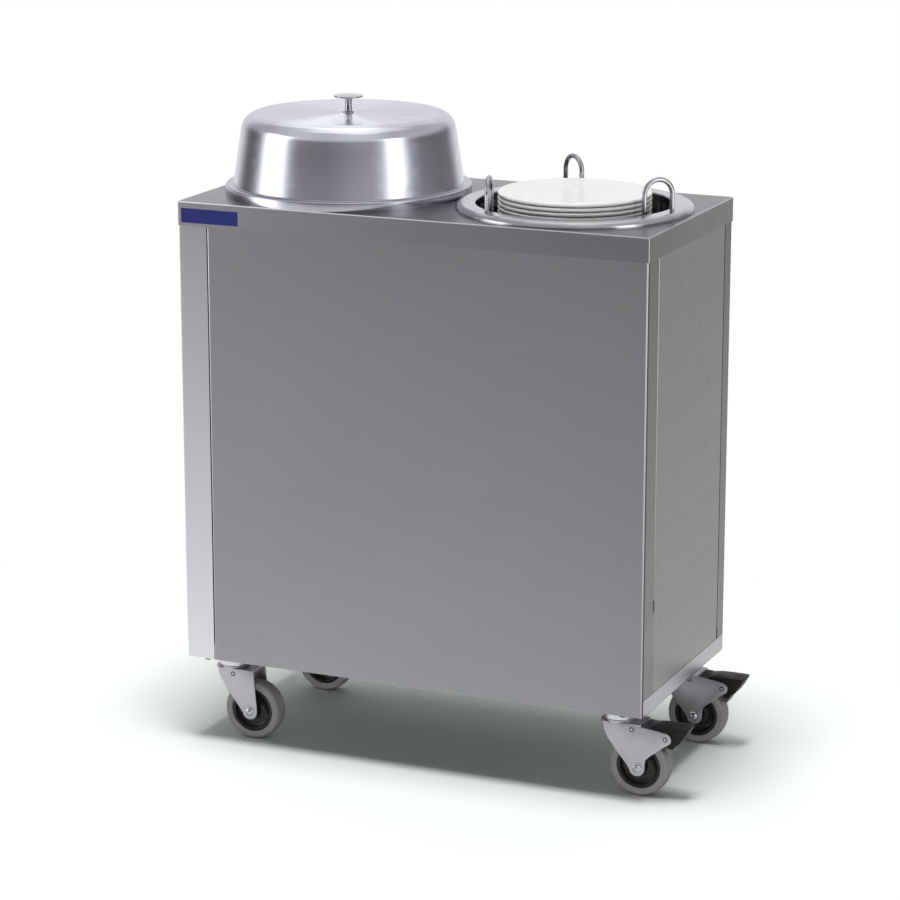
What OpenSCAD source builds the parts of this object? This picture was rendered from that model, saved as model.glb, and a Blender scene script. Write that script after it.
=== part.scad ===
// Two-well plate dispenser cart: a steel cabinet on four swivel castors, with two sprung
// dispensers in the worktop, swinging guide hoops, a stack of plates and a lift-off lid.
// The origin is on the floor, under the middle of the cabinet. +X runs to the brake end,
// +Y to the back and +Z up. All lengths are millimetres.

/* [Cabinet] */
// Width of the worktop, from end to end
cabinet_w = 810; // [806:2:880]
// Depth of the worktop, front to back
cabinet_d = 395; // [394:1:440]
// Height of the worktop above the floor
worktop_h = 915; // [860:5:960]
// Height of the worktop's turned-down rim
rim_h = 39; // [30:1:50]
// How far the rim stands out past the panels
rim_overhang = 1.5; // [1.5:0.1:4]
// Thickness of the cabinet's sheet steel
sheet_t = 1.2; // [0.8:0.1:1.5]
// Outside radius of a fold in the sheet
bend_r = 2.6; // [2:0.1:4]
// Width of the corner strips next to the front
front_strip_w = 50; // [40:1:60]
// Depth of the end strips next to the front
end_strip_w = 46; // [40:1:60]
// Width of the corner strips next to the back
rear_strip_w = 32; // [24:1:45]
// Height of the rail round the foot of the cabinet
foot_rail_h = 27; // [20:1:40]
// Open seam between two panels
seam_gap = 0.8; // [0.5:0.1:1.5]
// Depth of the folds along a panel's edges
panel_fold = 12; // [8:1:20]

/* [Rim plate] */
// Width of the blank plate on the rim
badge_w = 101; // [60:1:140]
// Distance of the blank plate above the rim's lower edge
badge_foot = 5.2; // [2:0.2:8]
// Thickness of the blank plate
badge_t = 1; // [0.6:0.1:1.5]
// Distance of the blank plate from the worktop's end
badge_inset = 7.5; // [4:0.5:40]
// Distance of the blank plate below the worktop
badge_drop = 10.8; // [3:0.1:15]

/* [Wells] */
// Room between a bezel ring and the worktop's front and back edges
ring_side_room = 6.5; // [6:0.5:20]
// Room between a bezel ring and the worktop's end, before the wells are shifted
ring_end_room = 15.5; // [12:0.5:40]
// Gap between the two bezel rings
ring_gap = 15; // [12:1:40]
// How far the pair of wells sits towards the brake end
well_shift = 7; // [2:0.5:8]
// Width of a bezel ring, from its outer edge to the well's mouth
ring_w = 33; // [31:0.5:40]
// Height of the bezel ring above the worktop
ring_h = 10; // [8:0.5:14]
// Width of the ring's rounded outer edge
ring_roll = 11; // [9.5:0.5:12]
// Radius of the ring's turned-down lip
ring_lip_r = 3; // [2:0.5:4]
// Depth of the ring's turned-down lip
ring_lip_h = 12; // [8:1:20]
// Thickness of the ring's metal
ring_t = 1.5; // [1:0.1:2]

/* [Guide hoops] */
// Thickness of the hoop's rod
hoop_rod = 8; // [7:0.5:9]
// Distance between a hoop's two legs
hoop_span = 48; // [47:0.5:50]
// Height of the arch's centre line above the ring
hoop_rise = 50; // [40:1:58]
// Distance of the hoops' pivots from the bezel ring's outer edge
pivot_inset = 23; // [21:0.5:25]
// Angle of the first pivot round the well
hoop_first_angle = -3.5; // [-8:0.5:8]
// Turn of a front hoop from pointing at the well's middle
hoop_turn = 48.5; // [45:0.5:55]
// Turn of the back hoop from pointing at the well's middle
back_hoop_turn = 28; // [28:0.5:34]
// Length of the inner leg below the ring
hoop_inner_leg = 130; // [80:5:140]

/* [Plates] */
// Room between the plates' edges and the hoops' pivots
hoop_room = 45; // [45:0.5:58]
// Step from one stacked plate to the next
plate_pitch = 7.5; // [7:0.1:9]
// Number of plates in the stack
plate_count = 12; // [4:1:16]
// Height of one plate from foot to rim
plate_h = 18.6; // [16:0.2:22]
// Thickness of a plate
plate_t = 4.9; // [4:0.1:5.5]
// Height of the top plate's rim above the worktop
plate_show = 28; // [12:1:40]

/* [Carriers] */
// How far the plates' edges stand out past the platform
plate_overhang = 11; // [6:1:28]
// Thickness of the platform
platform_t = 3; // [2:0.5:5]
// How far the empty platform stops below the worktop
empty_drop = 10; // [4:1:30]
// Height of the cage between the platform and its spider
cage_h = 120; // [90:5:150]
// Thickness of the guide rods
rod_d = 10; // [8:1:12]
// Outside thickness of a spring
spring_d = 14; // [10:1:16]
// Thickness of the springs' wire
spring_wire = 2; // [1.2:0.2:2.6]
// Height of the dispensers' bottom rings above the cabinet's foot
bottom_ring_rise = 54; // [40:2:84]

/* [Lid] */
// Distance of the lid's outside from the bezel ring
lid_room = 10.5; // [8:0.5:12]
// Height of the lid's skirt
lid_skirt_h = 15.2; // [14:0.1:18]
// Width of the ledge between the lid's skirt and its wall
lid_ledge_w = 12.5; // [10.5:0.5:14]
// Height of the lid's top above the worktop
lid_h = 130; // [110:1:150]
// How far the wall leans in for each unit of height
lid_lean = 0.156; // [0.1:0.01:0.17]
// Radius of the lid's shoulder
lid_shoulder_r = 28; // [15:1:35]
// Thickness of the lid's metal
lid_t = 1.5; // [1:0.1:1.8]
// Radius of the knob's disc
knob_r = 24.3; // [18:0.5:30]
// Thickness of the knob's disc at its edge
knob_t = 3; // [2:0.5:6]
// Thickness of the knob's stem
knob_stem_d = 12.3; // [10:0.1:18]
// Height of the knob above the lid
knob_h = 29.3; // [22:0.5:45]

/* [Castors] */
// Gap between a tyre and the fork's crown
crown_gap = 18; // [14:1:28]
// Diameter of the wheels
wheel_d = 100; // [90:1:104]
// Width of the tyres
wheel_w = 30; // [24:1:34]
// Thickness of the tyres, from hub to tread
tyre_t = 13; // [10:0.5:20]
// Distance of the swivels from the worktop's ends
swivel_end_inset = 60; // [57:1:75]
// Distance of the swivels from the worktop's front and back edges
swivel_side_inset = 59.5; // [55.5:0.5:63.5]
// Distance of the axle behind the swivel
castor_trail = 38; // [32:1:40]
// Width over the fork's two sides
fork_w = 48; // [45:0.5:54]
// Thickness of the fork's sides
fork_t = 3; // [2.5:0.5:3.5]
// Radius of the fork's round crown
crown_r = 30; // [28:0.5:32]
// Gap between a brake pedal and each side of its fork
pedal_gap = 2; // [1.5:0.5:6]
// How far the brake pedal's pivot stands inside the reach of the tyre
brake_inset = 2.5; // [1:0.5:3]

/* [Hidden] */
$fn = 72;

// One overrun for every cut
cut = 1;
// Clearance between a shaft and the bore that turns or slides on it
running_fit = 0.05;
// Clearance of a hole round a bolt or rod that it does not guide
hole_fit = 0.3;
// Gap where a moving piece rests on its seat
seat_gap = 0.2;

// Cabinet faces, worked out from the worktop
body_x = cabinet_w / 2 - rim_overhang;
body_y = cabinet_d / 2 - rim_overhang;
inner_x = body_x - sheet_t;
inner_y = body_y - sheet_t;
under_top = worktop_h - sheet_t;
castor_plate_t = 3;
crown_t = 4;
race_h = 21;
castor_h = wheel_d + crown_gap + crown_t + race_h + castor_plate_t;
floor_z = castor_h;
rail_top = floor_z + foot_rail_h;
panel_low = rail_top + seam_gap;
// Depth of the fold that turns the front panel round the corner
corner_fold = 4;
// Posts are a strip with an angle welded inside it, whose foot stands in the tray
angle_t = 1.5;
post_t = sheet_t + angle_t;
frame_flange = 10;
frame_h = 24;
panel_top = under_top - frame_h;
channel_w = 108;
channel_h = 22;
channel_t = 2;
// Distance from a channel's ends to the tray's walls
channel_end = 14;
plug_r = 7.5;
plug_h = 4.5;
plug_stem_r = 4;
plug_inset_x = 35;
plug_inset_y = 9;
clip_h = 20;
clip_depth = 8;
front_clip_rise = 134;
rear_clip_rise = 1;
badge_h = rim_h - badge_drop - badge_foot;

// Wells: the rings are as large as the worktop's depth and width both have room for
ring_r = min(cabinet_d / 2 - ring_side_room, (cabinet_w / 2 - ring_end_room - ring_gap / 2) / 2);
well_pitch = cabinet_w - 2 * (ring_r + ring_end_room);
well_r = ring_r - ring_w;
hoop_pivot_r = ring_r - pivot_inset;
left_x = well_shift - well_pitch / 2;
right_x = well_shift + well_pitch / 2;
band_z = worktop_h + ring_h;
band_under = band_z - ring_t;
// Clearance of the worktop's hole round the hanger's skirt
hole_gap = 1;
hanger_t = 3;
hanger_out = ring_r - ring_roll - seat_gap;
hanger_in = well_r + ring_lip_r + ring_t;
hanger_skirt_h = 30;
hanger_skirt_t = 1.5;
hole_r = hanger_out + hole_gap;
hanger_low = band_under - hanger_t;
arc_steps = 8;

// Hoops: one pivot stands every third of a turn
hoops_per_well = 3;
pivot_step = 360 / hoops_per_well;
socket_r = 8;
socket_h = 35;
socket_floor = 3;
hoop_tip = hoop_rod / 4;

// Dispensers
plate_r = hoop_pivot_r - hoop_room;
platform_r = plate_r - plate_overhang;
bottom_ring_z = floor_z + bottom_ring_rise;
arm_angle = hoop_first_angle + pivot_step / 2;
rod_circle_r = hoop_pivot_r;
bottom_ring_w = 20;
bottom_ring_t = 3;
nut_r = 9;
nut_h = 8;
rod_tail = 12;
nut_sides = 6;
spider_t = 4;
// Distance of the spider's legs inside the platform's edge, and of its disc round them
leg_inset = 32;
leg_r = 8;
leg_edge = 4;
leg_circle_r = platform_r - leg_inset;
spider_r = leg_circle_r + leg_r + leg_edge;
arm_w = 26;
head_radial = 18;
spring_offset = 32;
spring_edge = 4;
bush_r = 10;
bush_up = 14;
bush_down = 10;
bush_h = bush_down + spider_t + bush_up;
collar_r = 9;
collar_h = 10;
platform_edge = 10;
left_platform_z = worktop_h - empty_drop;
stack_h = (plate_count - 1) * plate_pitch + plate_h;
right_platform_z = worktop_h + plate_show - stack_h - seat_gap;
empty_spider_top = left_platform_z - platform_t - cage_h;
right_spider_top = right_platform_z - platform_t - cage_h;
bush_top_stop = empty_spider_top + bush_up + seat_gap;

// Plate outline as shares of its radius and height
foot_in_share = 0.55;
foot_out_share = 0.6;
flat_share = 0.64;
rise_share = 0.76;
rim_start_share = 0.93;
rise_z_share = 0.5;
// Hair gap between one plate's foot and the plate under it
plate_gap = 0.1;
foot_depth = plate_pitch - plate_t - plate_gap;

// Lid
lid_r = ring_r + lid_room;
lid_wall_r = lid_r - lid_ledge_w;
lid_z = worktop_h + seat_gap;
lid_edge_r = 3;
lid_fillet_r = 1.6;
lid_lean_angle = atan(lid_lean);
knob_foot_r = 9;
knob_foot_h = 2;
knob_dome = 1.6;
screw_r = 3;
screw_head_r = 6;
screw_head_h = 4;
screw_grip = 14;

// Castors
wheel_r = wheel_d / 2;
hub_r = wheel_r - tyre_t;
castor_x = cabinet_w / 2 - swivel_end_inset;
castor_y = cabinet_d / 2 - swivel_side_inset;
castor_plate_l = 104;
castor_plate_w = 76;
bolt_pitch_x = 80;
bolt_pitch_y = 60;
bolt_r = 4;
bolt_head_r = 7;
bolt_head_h = 4;
bolt_nut_h = 7;
race_r = 25;
race_cup_h = 4;
kingpin_r = 6;
kingpin_head_r = 11;
kingpin_head_h = 5;
crown_top = castor_h - castor_plate_t - race_h;
crown_low = crown_top - crown_t;
boss_r = 13.5;
axle_r = 5;
axle_head_r = 8;
axle_head_h = 6;
axle_nut_h = 7;
hub_web_t = 10;
hub_boss_r = 13;
hub_rim_t = 6;
hub_side_gap = 1;
tyre_edge_r = 4;
tyre_crown = 1;
ear_r = 10;
ear_drop = 2;
// Height of the fork's crown above the brake's pivot
ear_depth = 14;
pedal_pin_r = 3;
// Gap between a pedal and the cabinet, and the pedal's reach before and behind its pivot
pedal_top_gap = 24;
pedal_toe = 34.5;
pedal_heel = 29.5;
brake_reach = wheel_r - brake_inset;
brake_pivot_z = crown_low - ear_depth;
pedal_top_z = castor_h - pedal_top_gap;
pedal_tip_x = brake_reach + pedal_toe;
pedal_back = brake_reach - pedal_heel;
pedal_w = fork_w - 2 * (fork_t + pedal_gap);
pad_w = 26;

castor_places = [
    [-castor_x, -castor_y], [castor_x, -castor_y],
    [-castor_x, castor_y], [castor_x, castor_y]
];
FRONT_LEFT = 0;
FRONT_RIGHT = 1;
REAR_LEFT = 2;
REAR_RIGHT = 3;

// Places that joints, openings and other records need
echo(wells = [left_x, right_x], levels = [band_z, left_platform_z, right_platform_z]);
echo(body = [body_x, body_y], crown = [crown_top, crown_low], pivot = brake_pivot_z);
echo(rise = left_platform_z - right_platform_z, spider = [empty_spider_top, right_spider_top]);

// Quarter of a rounded corner from one angle to another, as points
function arc(c, rx, ry, from, to, n = arc_steps) =
    [for (i = [0:n]) let (a = from + (to - from) * i / n) [c[0] + rx * cos(a), c[1] + ry * sin(a)]];

module rounded_rect(w, d, r) {
    square([w - 2 * r, d], center = true);
    square([w, d - 2 * r], center = true);
    for (x = [-1, 1], y = [-1, 1])
        translate([x * (w / 2 - r), y * (d / 2 - r)])
            circle(r);
}

// Quarter ring with its middle at the origin, in the corner towards -X and -Y
module bend_2d(r, t) {
    intersection() {
        difference() {
            circle(r);
            circle(r - t);
        }
        translate([-r, -r])
            square(r);
    }
}

// Folded sheet seen from above: its outer face lies along X at y = 0
module channel_2d(w, fold_l, fold_r, t, r) {
    translate([r, 0])
        square([w - 2 * r, t]);
    translate([r, r])
        bend_2d(r, t);
    translate([0, r])
        square([t, fold_l - r]);
    translate([w - r, r])
        mirror([1, 0])
            bend_2d(r, t);
    translate([w - t, r])
        square([t, fold_r - r]);
}

// Corner angle seen from above: its outer faces lie along X and Y
module angle_2d(w, d, t) {
    translate([bend_r, 0])
        square([w - bend_r, t]);
    translate([0, bend_r])
        square([t, d - bend_r]);
    translate([bend_r, bend_r])
        intersection() {
            circle(bend_r);
            translate([-bend_r, -bend_r])
                square(bend_r);
        }
}

// Upright panel with a fold down each side and one along its foot
module folded_panel(w, h) {
    linear_extrude(h)
        channel_2d(w, panel_fold, panel_fold, sheet_t, bend_r);
    translate([sheet_t, sheet_t, 0])
        cube([w - 2 * sheet_t, panel_fold - sheet_t, sheet_t]);
}

module tube(r, bore, h) {
    difference() {
        cylinder(r = r, h = h);
        translate([0, 0, -cut])
            cylinder(r = bore, h = h + 2 * cut);
    }
}

// Places its children at a radius and every third of a turn from a start angle
module round_well(x, r, start) {
    for (i = [0:hoops_per_well - 1])
        translate([x, 0, 0])
            rotate([0, 0, start + i * pivot_step])
                translate([r, 0, 0])
                    children();
}

module worktop() {
    color("#b9b7bd")
        difference() {
            union() {
                translate([0, 0, under_top])
                    linear_extrude(sheet_t)
                        rounded_rect(cabinet_w, cabinet_d, bend_r);
                translate([0, 0, worktop_h - rim_h])
                    linear_extrude(rim_h - sheet_t)
                        difference() {
                            rounded_rect(cabinet_w, cabinet_d, bend_r);
                            rounded_rect(
                                cabinet_w - 2 * sheet_t, cabinet_d - 2 * sheet_t, bend_r - sheet_t
                            );
                        }
            }
            for (x = [left_x, right_x])
                translate([x, 0, under_top - cut])
                    cylinder(r = hole_r, h = sheet_t + 2 * cut);
        }
}

// Front panel: it laps over the tray, so its inner fold starts above the tray's rail
module front_panel() {
    left = -body_x + front_strip_w + seam_gap;
    color("#a19ea4")
        difference() {
            translate([left, -body_y, floor_z])
                linear_extrude(panel_top - floor_z)
                    channel_2d(body_x - left, panel_fold, corner_fold, sheet_t, bend_r);
            translate([left - cut, -inner_y, floor_z - cut])
                cube([bend_r + cut, panel_fold, panel_low - floor_z + cut]);
        }
}

module rear_panel() {
    half = body_x - rear_strip_w - seam_gap;
    color("#a19ea4")
        translate([half, body_y, panel_low])
            rotate([0, 0, 180])
                folded_panel(2 * half, panel_top - panel_low);
}

// End panel between the front and rear strips
module end_panel() {
    front = -body_y + end_strip_w + seam_gap;
    back = body_y - rear_strip_w - seam_gap;
    translate([body_x, front, panel_low])
        rotate([0, 0, 90])
            folded_panel(back - front, panel_top - panel_low);
}

module left_end_panel() {
    color("#a8a5ab")
        mirror([1, 0, 0])
            end_panel();
}

module right_end_panel() {
    color("#a8a5ab")
        end_panel();
}

// Front left post: its front face shows beside the front panel and runs to the cabinet's foot
module front_left_post() {
    translate([-body_x, -body_y, panel_low])
        linear_extrude(panel_top - panel_low)
            angle_2d(front_strip_w, end_strip_w, post_t);
    translate([-body_x + bend_r, -body_y, floor_z])
        cube([front_strip_w - bend_r, post_t, panel_low - floor_z]);
    translate([-inner_x, -body_y + sheet_t, floor_z + sheet_t])
        cube([angle_t, end_strip_w - sheet_t, foot_rail_h]);
}

// Front right post: stepped in, so that the front panel's fold lies in front of it
module front_right_post() {
    step_y = -body_y + corner_fold + seam_gap;
    step_x = inner_x - seat_gap;
    front_x = body_x - front_strip_w;
    translate([0, 0, panel_low])
        linear_extrude(panel_top - panel_low) {
            translate([front_x, -inner_y])
                square([body_x - bend_r - front_x, post_t]);
            translate([step_x - post_t, -body_y + bend_r])
                square([post_t, step_y + body_y - bend_r + post_t]);
            translate([step_x - post_t, step_y])
                square([body_x - step_x + post_t, post_t]);
            translate([body_x - post_t, step_y])
                square([post_t, end_strip_w - corner_fold - seam_gap]);
        }
    translate([front_x, -inner_y + sheet_t, floor_z + sheet_t])
        cube([step_x - post_t - front_x, angle_t, foot_rail_h]);
    translate([inner_x - angle_t, step_y + post_t, floor_z + sheet_t])
        cube([angle_t, end_strip_w - corner_fold - seam_gap - post_t, foot_rail_h]);
}

module rear_post() {
    translate([body_x, body_y, panel_low])
        rotate([0, 0, 180])
            linear_extrude(panel_top - panel_low)
                angle_2d(rear_strip_w, rear_strip_w, post_t);
    translate([inner_x, inner_y, floor_z + sheet_t])
        rotate([0, 0, 180])
            linear_extrude(foot_rail_h)
                angle_2d(rear_strip_w - sheet_t, rear_strip_w - sheet_t, angle_t);
}

module corner_posts() {
    color("#8f8d94") {
        front_left_post();
        front_right_post();
        rear_post();
        mirror([1, 0, 0])
            rear_post();
    }
}

// Shallow tray that closes the cabinet's foot, with its rails turned up round the edge
module base_tray() {
    deep = body_y + inner_y;
    middle_y = (body_y - inner_y) / 2;
    color("#9b999f")
        difference() {
            translate([0, middle_y, floor_z])
                linear_extrude(foot_rail_h)
                    rounded_rect(2 * body_x, deep, bend_r);
            translate([0, middle_y, floor_z + sheet_t])
                linear_extrude(foot_rail_h)
                    rounded_rect(2 * inner_x, deep - 2 * sheet_t, bend_r - sheet_t);
            translate([-body_x, -body_y, floor_z])
                cube([front_strip_w, bend_r + sheet_t, foot_rail_h + cut]);
            translate([body_x - bend_r, -body_y, floor_z])
                cube([bend_r + cut, corner_fold + seam_gap, foot_rail_h + cut]);
            for (x = [-1, 1], y = [-1, 1])
                translate([x * (body_x - plug_inset_x), y * (body_y - plug_inset_y), floor_z - cut])
                    cylinder(r = plug_stem_r + hole_fit, h = sheet_t + 2 * cut);
            at_castor_bolts()
                translate([0, 0, floor_z - cut])
                    cylinder(r = bolt_r + hole_fit, h = sheet_t + 2 * cut);
        }
}

// Folded ring that carries the worktop on the panels and posts
module top_frame() {
    color("#8c8a90")
        translate([0, 0, under_top - frame_h])
            difference() {
                linear_extrude(frame_h)
                    rounded_rect(2 * body_x, 2 * body_y, bend_r);
                translate([0, 0, -cut])
                    linear_extrude(frame_h - sheet_t + cut)
                        rounded_rect(2 * inner_x, 2 * inner_y, bend_r - sheet_t);
                linear_extrude(frame_h + cut)
                    rounded_rect(
                        2 * (body_x - frame_flange), 2 * (body_y - frame_flange), bend_r - sheet_t
                    );
            }
}

module castor_channels() {
    length = 2 * (inner_y - channel_end);
    color("#84828a")
        for (x = [-castor_x, castor_x])
            translate([x, 0, floor_z + sheet_t])
                difference() {
                    translate([-channel_w / 2, -length / 2, 0])
                        cube([channel_w, length, channel_h]);
                    translate([-channel_w / 2 + channel_t, -length / 2 - cut, channel_t])
                        cube([channel_w - 2 * channel_t, length + 2 * cut, channel_h]);
                    for (bx = [-1, 1], y = [-1, 1], by = [-1, 1])
                        translate([bx * bolt_pitch_x / 2, y * castor_y + by * bolt_pitch_y / 2, -cut])
                            cylinder(r = bolt_r + hole_fit, h = channel_t + 2 * cut);
                }
}

module rim_plate() {
    color("#1f3f7a")
        translate([-cabinet_w / 2 + badge_inset, -cabinet_d / 2 - badge_t,
                worktop_h - badge_drop - badge_h])
            cube([badge_w, badge_t, badge_h]);
}

module tray_plugs() {
    color("#2a2a2c")
        for (x = [-1, 1], y = [-1, 1])
            translate([x * (body_x - plug_inset_x), y * (body_y - plug_inset_y), floor_z])
                rotate_extrude()
                    polygon(concat(
                        [[0, sheet_t], [plug_stem_r, sheet_t], [plug_stem_r, 0]],
                        arc([0, 0], plug_r, plug_h, 0, -90)
                    ));
}

// Small spring clips in the seams beside the end panels
module panel_clips() {
    color("#3a3a3d")
        for (side = [-1, 1])
            for (place = [
                    [-body_y + end_strip_w, panel_low + front_clip_rise],
                    [body_y - rear_strip_w - seam_gap, panel_low + rear_clip_rise]])
                translate([side * (body_x - clip_depth / 2 - seam_gap), place[0] + seam_gap / 2,
                        place[1] + clip_h / 2])
                    cube([clip_depth, seam_gap, clip_h], center = true);
}

// Bezel ring: rounded outer edge, flat band and a lip turned down into the well
module bezel_ring(x) {
    flat_r = ring_r - ring_roll;
    lip_c = [well_r + ring_lip_r, ring_h - ring_lip_r];
    color("#c9c8ce")
        difference() {
            translate([x, 0, worktop_h])
                rotate_extrude()
                    polygon(concat(
                        arc([flat_r, 0], ring_roll, ring_h, 0, 90),
                        arc(lip_c, ring_lip_r, ring_lip_r, 90, 180),
                        [[well_r, ring_h - ring_lip_h], [well_r + ring_t, ring_h - ring_lip_h]],
                        arc(lip_c, ring_lip_r - ring_t, ring_lip_r - ring_t, 180, 90),
                        arc([flat_r, 0], ring_roll - ring_t, ring_h - ring_t, 90, 0)
                    ));
            round_well(x, hoop_pivot_r, hoop_first_angle)
                translate([0, 0, band_under - cut])
                    cylinder(r = hoop_rod / 2 + hole_fit, h = ring_t + 2 * cut);
        }
}

module left_ring() {
    bezel_ring(left_x);
}

module right_ring() {
    bezel_ring(right_x);
}

// Flat ring under the bezel that carries the sockets, rods and springs
module hanger(x) {
    color("#94929a")
        difference() {
            union() {
                translate([x, 0, hanger_low])
                    tube(hanger_out, hanger_in, hanger_t);
                translate([x, 0, band_under - hanger_skirt_h])
                    tube(hanger_out, hanger_out - hanger_skirt_t, hanger_skirt_h);
            }
            round_well(x, hoop_pivot_r, hoop_first_angle)
                translate([0, 0, hanger_low - cut])
                    cylinder(r = hoop_rod / 2 + hole_fit, h = hanger_t + 2 * cut);
            round_well(x, rod_circle_r, arm_angle)
                translate([0, 0, hanger_low - cut])
                    cylinder(r = rod_d / 2 + running_fit, h = hanger_t + 2 * cut);
        }
}

module left_hanger() {
    hanger(left_x);
}

module right_hanger() {
    hanger(right_x);
}

module hoop_sockets() {
    color("#7d7b82")
        for (x = [left_x, right_x])
            round_well(x, hoop_pivot_r, hoop_first_angle)
                translate([0, 0, hanger_low - socket_h])
                    difference() {
                        cylinder(r = socket_r, h = socket_h);
                        translate([0, 0, socket_floor])
                            cylinder(r = hoop_rod / 2 + running_fit, h = socket_h);
                    }
}

module guide_rods() {
    foot = bottom_ring_z - rod_tail;
    color("#b4b3b8")
        for (x = [left_x, right_x])
            round_well(x, rod_circle_r, arm_angle)
                translate([0, 0, foot])
                    cylinder(r = rod_d / 2, h = band_under - foot);
}

module bottom_rings() {
    color("#94929a")
        for (x = [left_x, right_x])
            difference() {
                translate([x, 0, bottom_ring_z])
                    tube(rod_circle_r + bottom_ring_w / 2, rod_circle_r - bottom_ring_w / 2,
                        bottom_ring_t);
                round_well(x, rod_circle_r, arm_angle)
                    translate([0, 0, bottom_ring_z - cut])
                        cylinder(r = rod_d / 2 + running_fit, h = bottom_ring_t + 2 * cut);
            }
}

// Six-sided nut with a flat towards the well's middle
module hex_nut(r, bore, h) {
    difference() {
        rotate([0, 0, 180 / nut_sides])
            cylinder(r = r, h = h, $fn = nut_sides);
        translate([0, 0, -cut])
            cylinder(r = bore, h = h + 2 * cut);
    }
}

module rod_nuts() {
    color("#a9a8ad")
        for (x = [left_x, right_x])
            round_well(x, rod_circle_r, arm_angle)
                for (z = [hanger_low - nut_h, bottom_ring_z - nut_h])
                    translate([0, 0, z])
                        hex_nut(nut_r, rod_d / 2 + running_fit, nut_h);
}

module stop_collars() {
    color("#5c5b60")
        for (x = [left_x, right_x])
            round_well(x, rod_circle_r, arm_angle)
                translate([0, 0, bush_top_stop])
                    tube(collar_r, rod_d / 2 + running_fit, collar_h);
}

// Round platform with its edge turned down
module platform(x, top) {
    color("#a5a3a9") {
        translate([x, 0, top - platform_t])
            cylinder(r = platform_r, h = platform_t);
        translate([x, 0, top - platform_edge])
            tube(platform_r, platform_r - platform_t, platform_edge);
    }
}

// Three-armed carrier: legs up to the platform, and a bush on each guide rod
module spider(x, top) {
    head_w = 2 * spring_offset + spring_d + 2 * spring_edge;
    color("#8b8990")
        translate([x, 0, top - spider_t])
            difference() {
                union() {
                    cylinder(r = spider_r, h = spider_t);
                    for (i = [0:hoops_per_well - 1])
                        rotate([0, 0, arm_angle + i * pivot_step]) {
                            translate([0, -arm_w / 2, 0])
                                cube([rod_circle_r, arm_w, spider_t]);
                            translate([rod_circle_r - head_radial / 2, -head_w / 2, 0])
                                cube([head_radial, head_w, spider_t]);
                            translate([rod_circle_r, 0, -bush_down])
                                cylinder(r = bush_r, h = bush_h);
                            translate([leg_circle_r, 0, spider_t])
                                cylinder(r = leg_r, h = cage_h);
                        }
                }
                for (i = [0:hoops_per_well - 1])
                    rotate([0, 0, arm_angle + i * pivot_step])
                        translate([rod_circle_r, 0, -bush_down - cut])
                            cylinder(r = rod_d / 2 + running_fit, h = bush_h + 2 * cut);
            }
}

// Springs from the hanger down to the spider's arms
module springs(x, spider_top) {
    low = spider_top + seat_gap;
    color("#c2c1c6")
        round_well(x, rod_circle_r, arm_angle)
            for (side = [-1, 1])
                translate([0, side * spring_offset, low])
                    tube(spring_d / 2, spring_d / 2 - spring_wire, hanger_low - seat_gap - low);
}

module left_platform() {
    platform(left_x, left_platform_z);
}

module right_platform() {
    platform(right_x, right_platform_z);
}

module left_spider() {
    spider(left_x, empty_spider_top);
}

module right_spider() {
    spider(right_x, right_spider_top);
}

module left_springs() {
    springs(left_x, empty_spider_top);
}

module right_springs() {
    springs(right_x, right_spider_top);
}

// One plate, foot down at z = 0
module plate() {
    well_z = foot_depth + plate_t;
    rim_r = plate_t / 2;
    rotate_extrude()
        polygon(concat(
            [[0, well_z], [plate_r * flat_share, well_z]],
            [[plate_r * rise_share, well_z + (plate_h - well_z) * rise_z_share / 2]],
            [[plate_r * rim_start_share, plate_h - (plate_h - well_z) * rise_z_share / 4]],
            arc([plate_r - rim_r, plate_h - rim_r], rim_r, rim_r, 90, -90),
            [[plate_r * rim_start_share, plate_h - plate_t - (plate_h - well_z) * rise_z_share / 4]],
            [[plate_r * rise_share, foot_depth + (plate_h - well_z) * rise_z_share / 2]],
            [[plate_r * flat_share, foot_depth], [plate_r * foot_out_share, foot_depth]],
            [[plate_r * foot_out_share, 0], [plate_r * foot_in_share, 0]],
            [[plate_r * foot_in_share, foot_depth], [0, foot_depth]]
        ));
}

module plate_stack() {
    color("#f2f0ef")
        for (i = [0:plate_count - 1])
            translate([right_x, 0, right_platform_z + seat_gap + i * plate_pitch])
                plate();
}

// Hoop in its own frame: the pivot leg on the Z axis, the inner leg at +X, the ring at z = 0
module hoop_shape() {
    bend = hoop_span / 2;
    straight = hoop_rise - bend;
    pivot_depth = ring_t + hanger_t + socket_h - socket_floor - seat_gap;
    color("#cfced4") {
        translate([0, 0, -pivot_depth])
            cylinder(r = hoop_rod / 2, h = pivot_depth + straight);
        translate([bend, 0, straight])
            rotate([90, 0, 0])
                rotate_extrude(angle = 180)
                    translate([bend, 0])
                        circle(hoop_rod / 2);
        translate([hoop_span, 0, -hoop_inner_leg])
            cylinder(r = hoop_rod / 2, h = hoop_inner_leg + straight);
        translate([hoop_span, 0, -hoop_inner_leg - hoop_tip])
            cylinder(r1 = hoop_rod / 2 - hoop_tip, r2 = hoop_rod / 2, h = hoop_tip);
    }
}

// Puts a hoop at its pivot, turned away from the well's middle
module hoop(x, i, turn) {
    translate([x, 0, band_z])
        rotate([0, 0, hoop_first_angle + i * pivot_step])
            translate([hoop_pivot_r, 0, 0])
                rotate([0, 0, 180 + turn])
                    hoop_shape();
}

module left_hoop_side() {
    hoop(left_x, 0, hoop_turn);
}

module left_hoop_back() {
    hoop(left_x, 1, back_hoop_turn);
}

module left_hoop_front() {
    hoop(left_x, 2, hoop_turn);
}

module right_hoop_side() {
    hoop(right_x, 0, hoop_turn);
}

module right_hoop_back() {
    hoop(right_x, 1, back_hoop_turn);
}

module right_hoop_front() {
    hoop(right_x, 2, hoop_turn);
}

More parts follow.
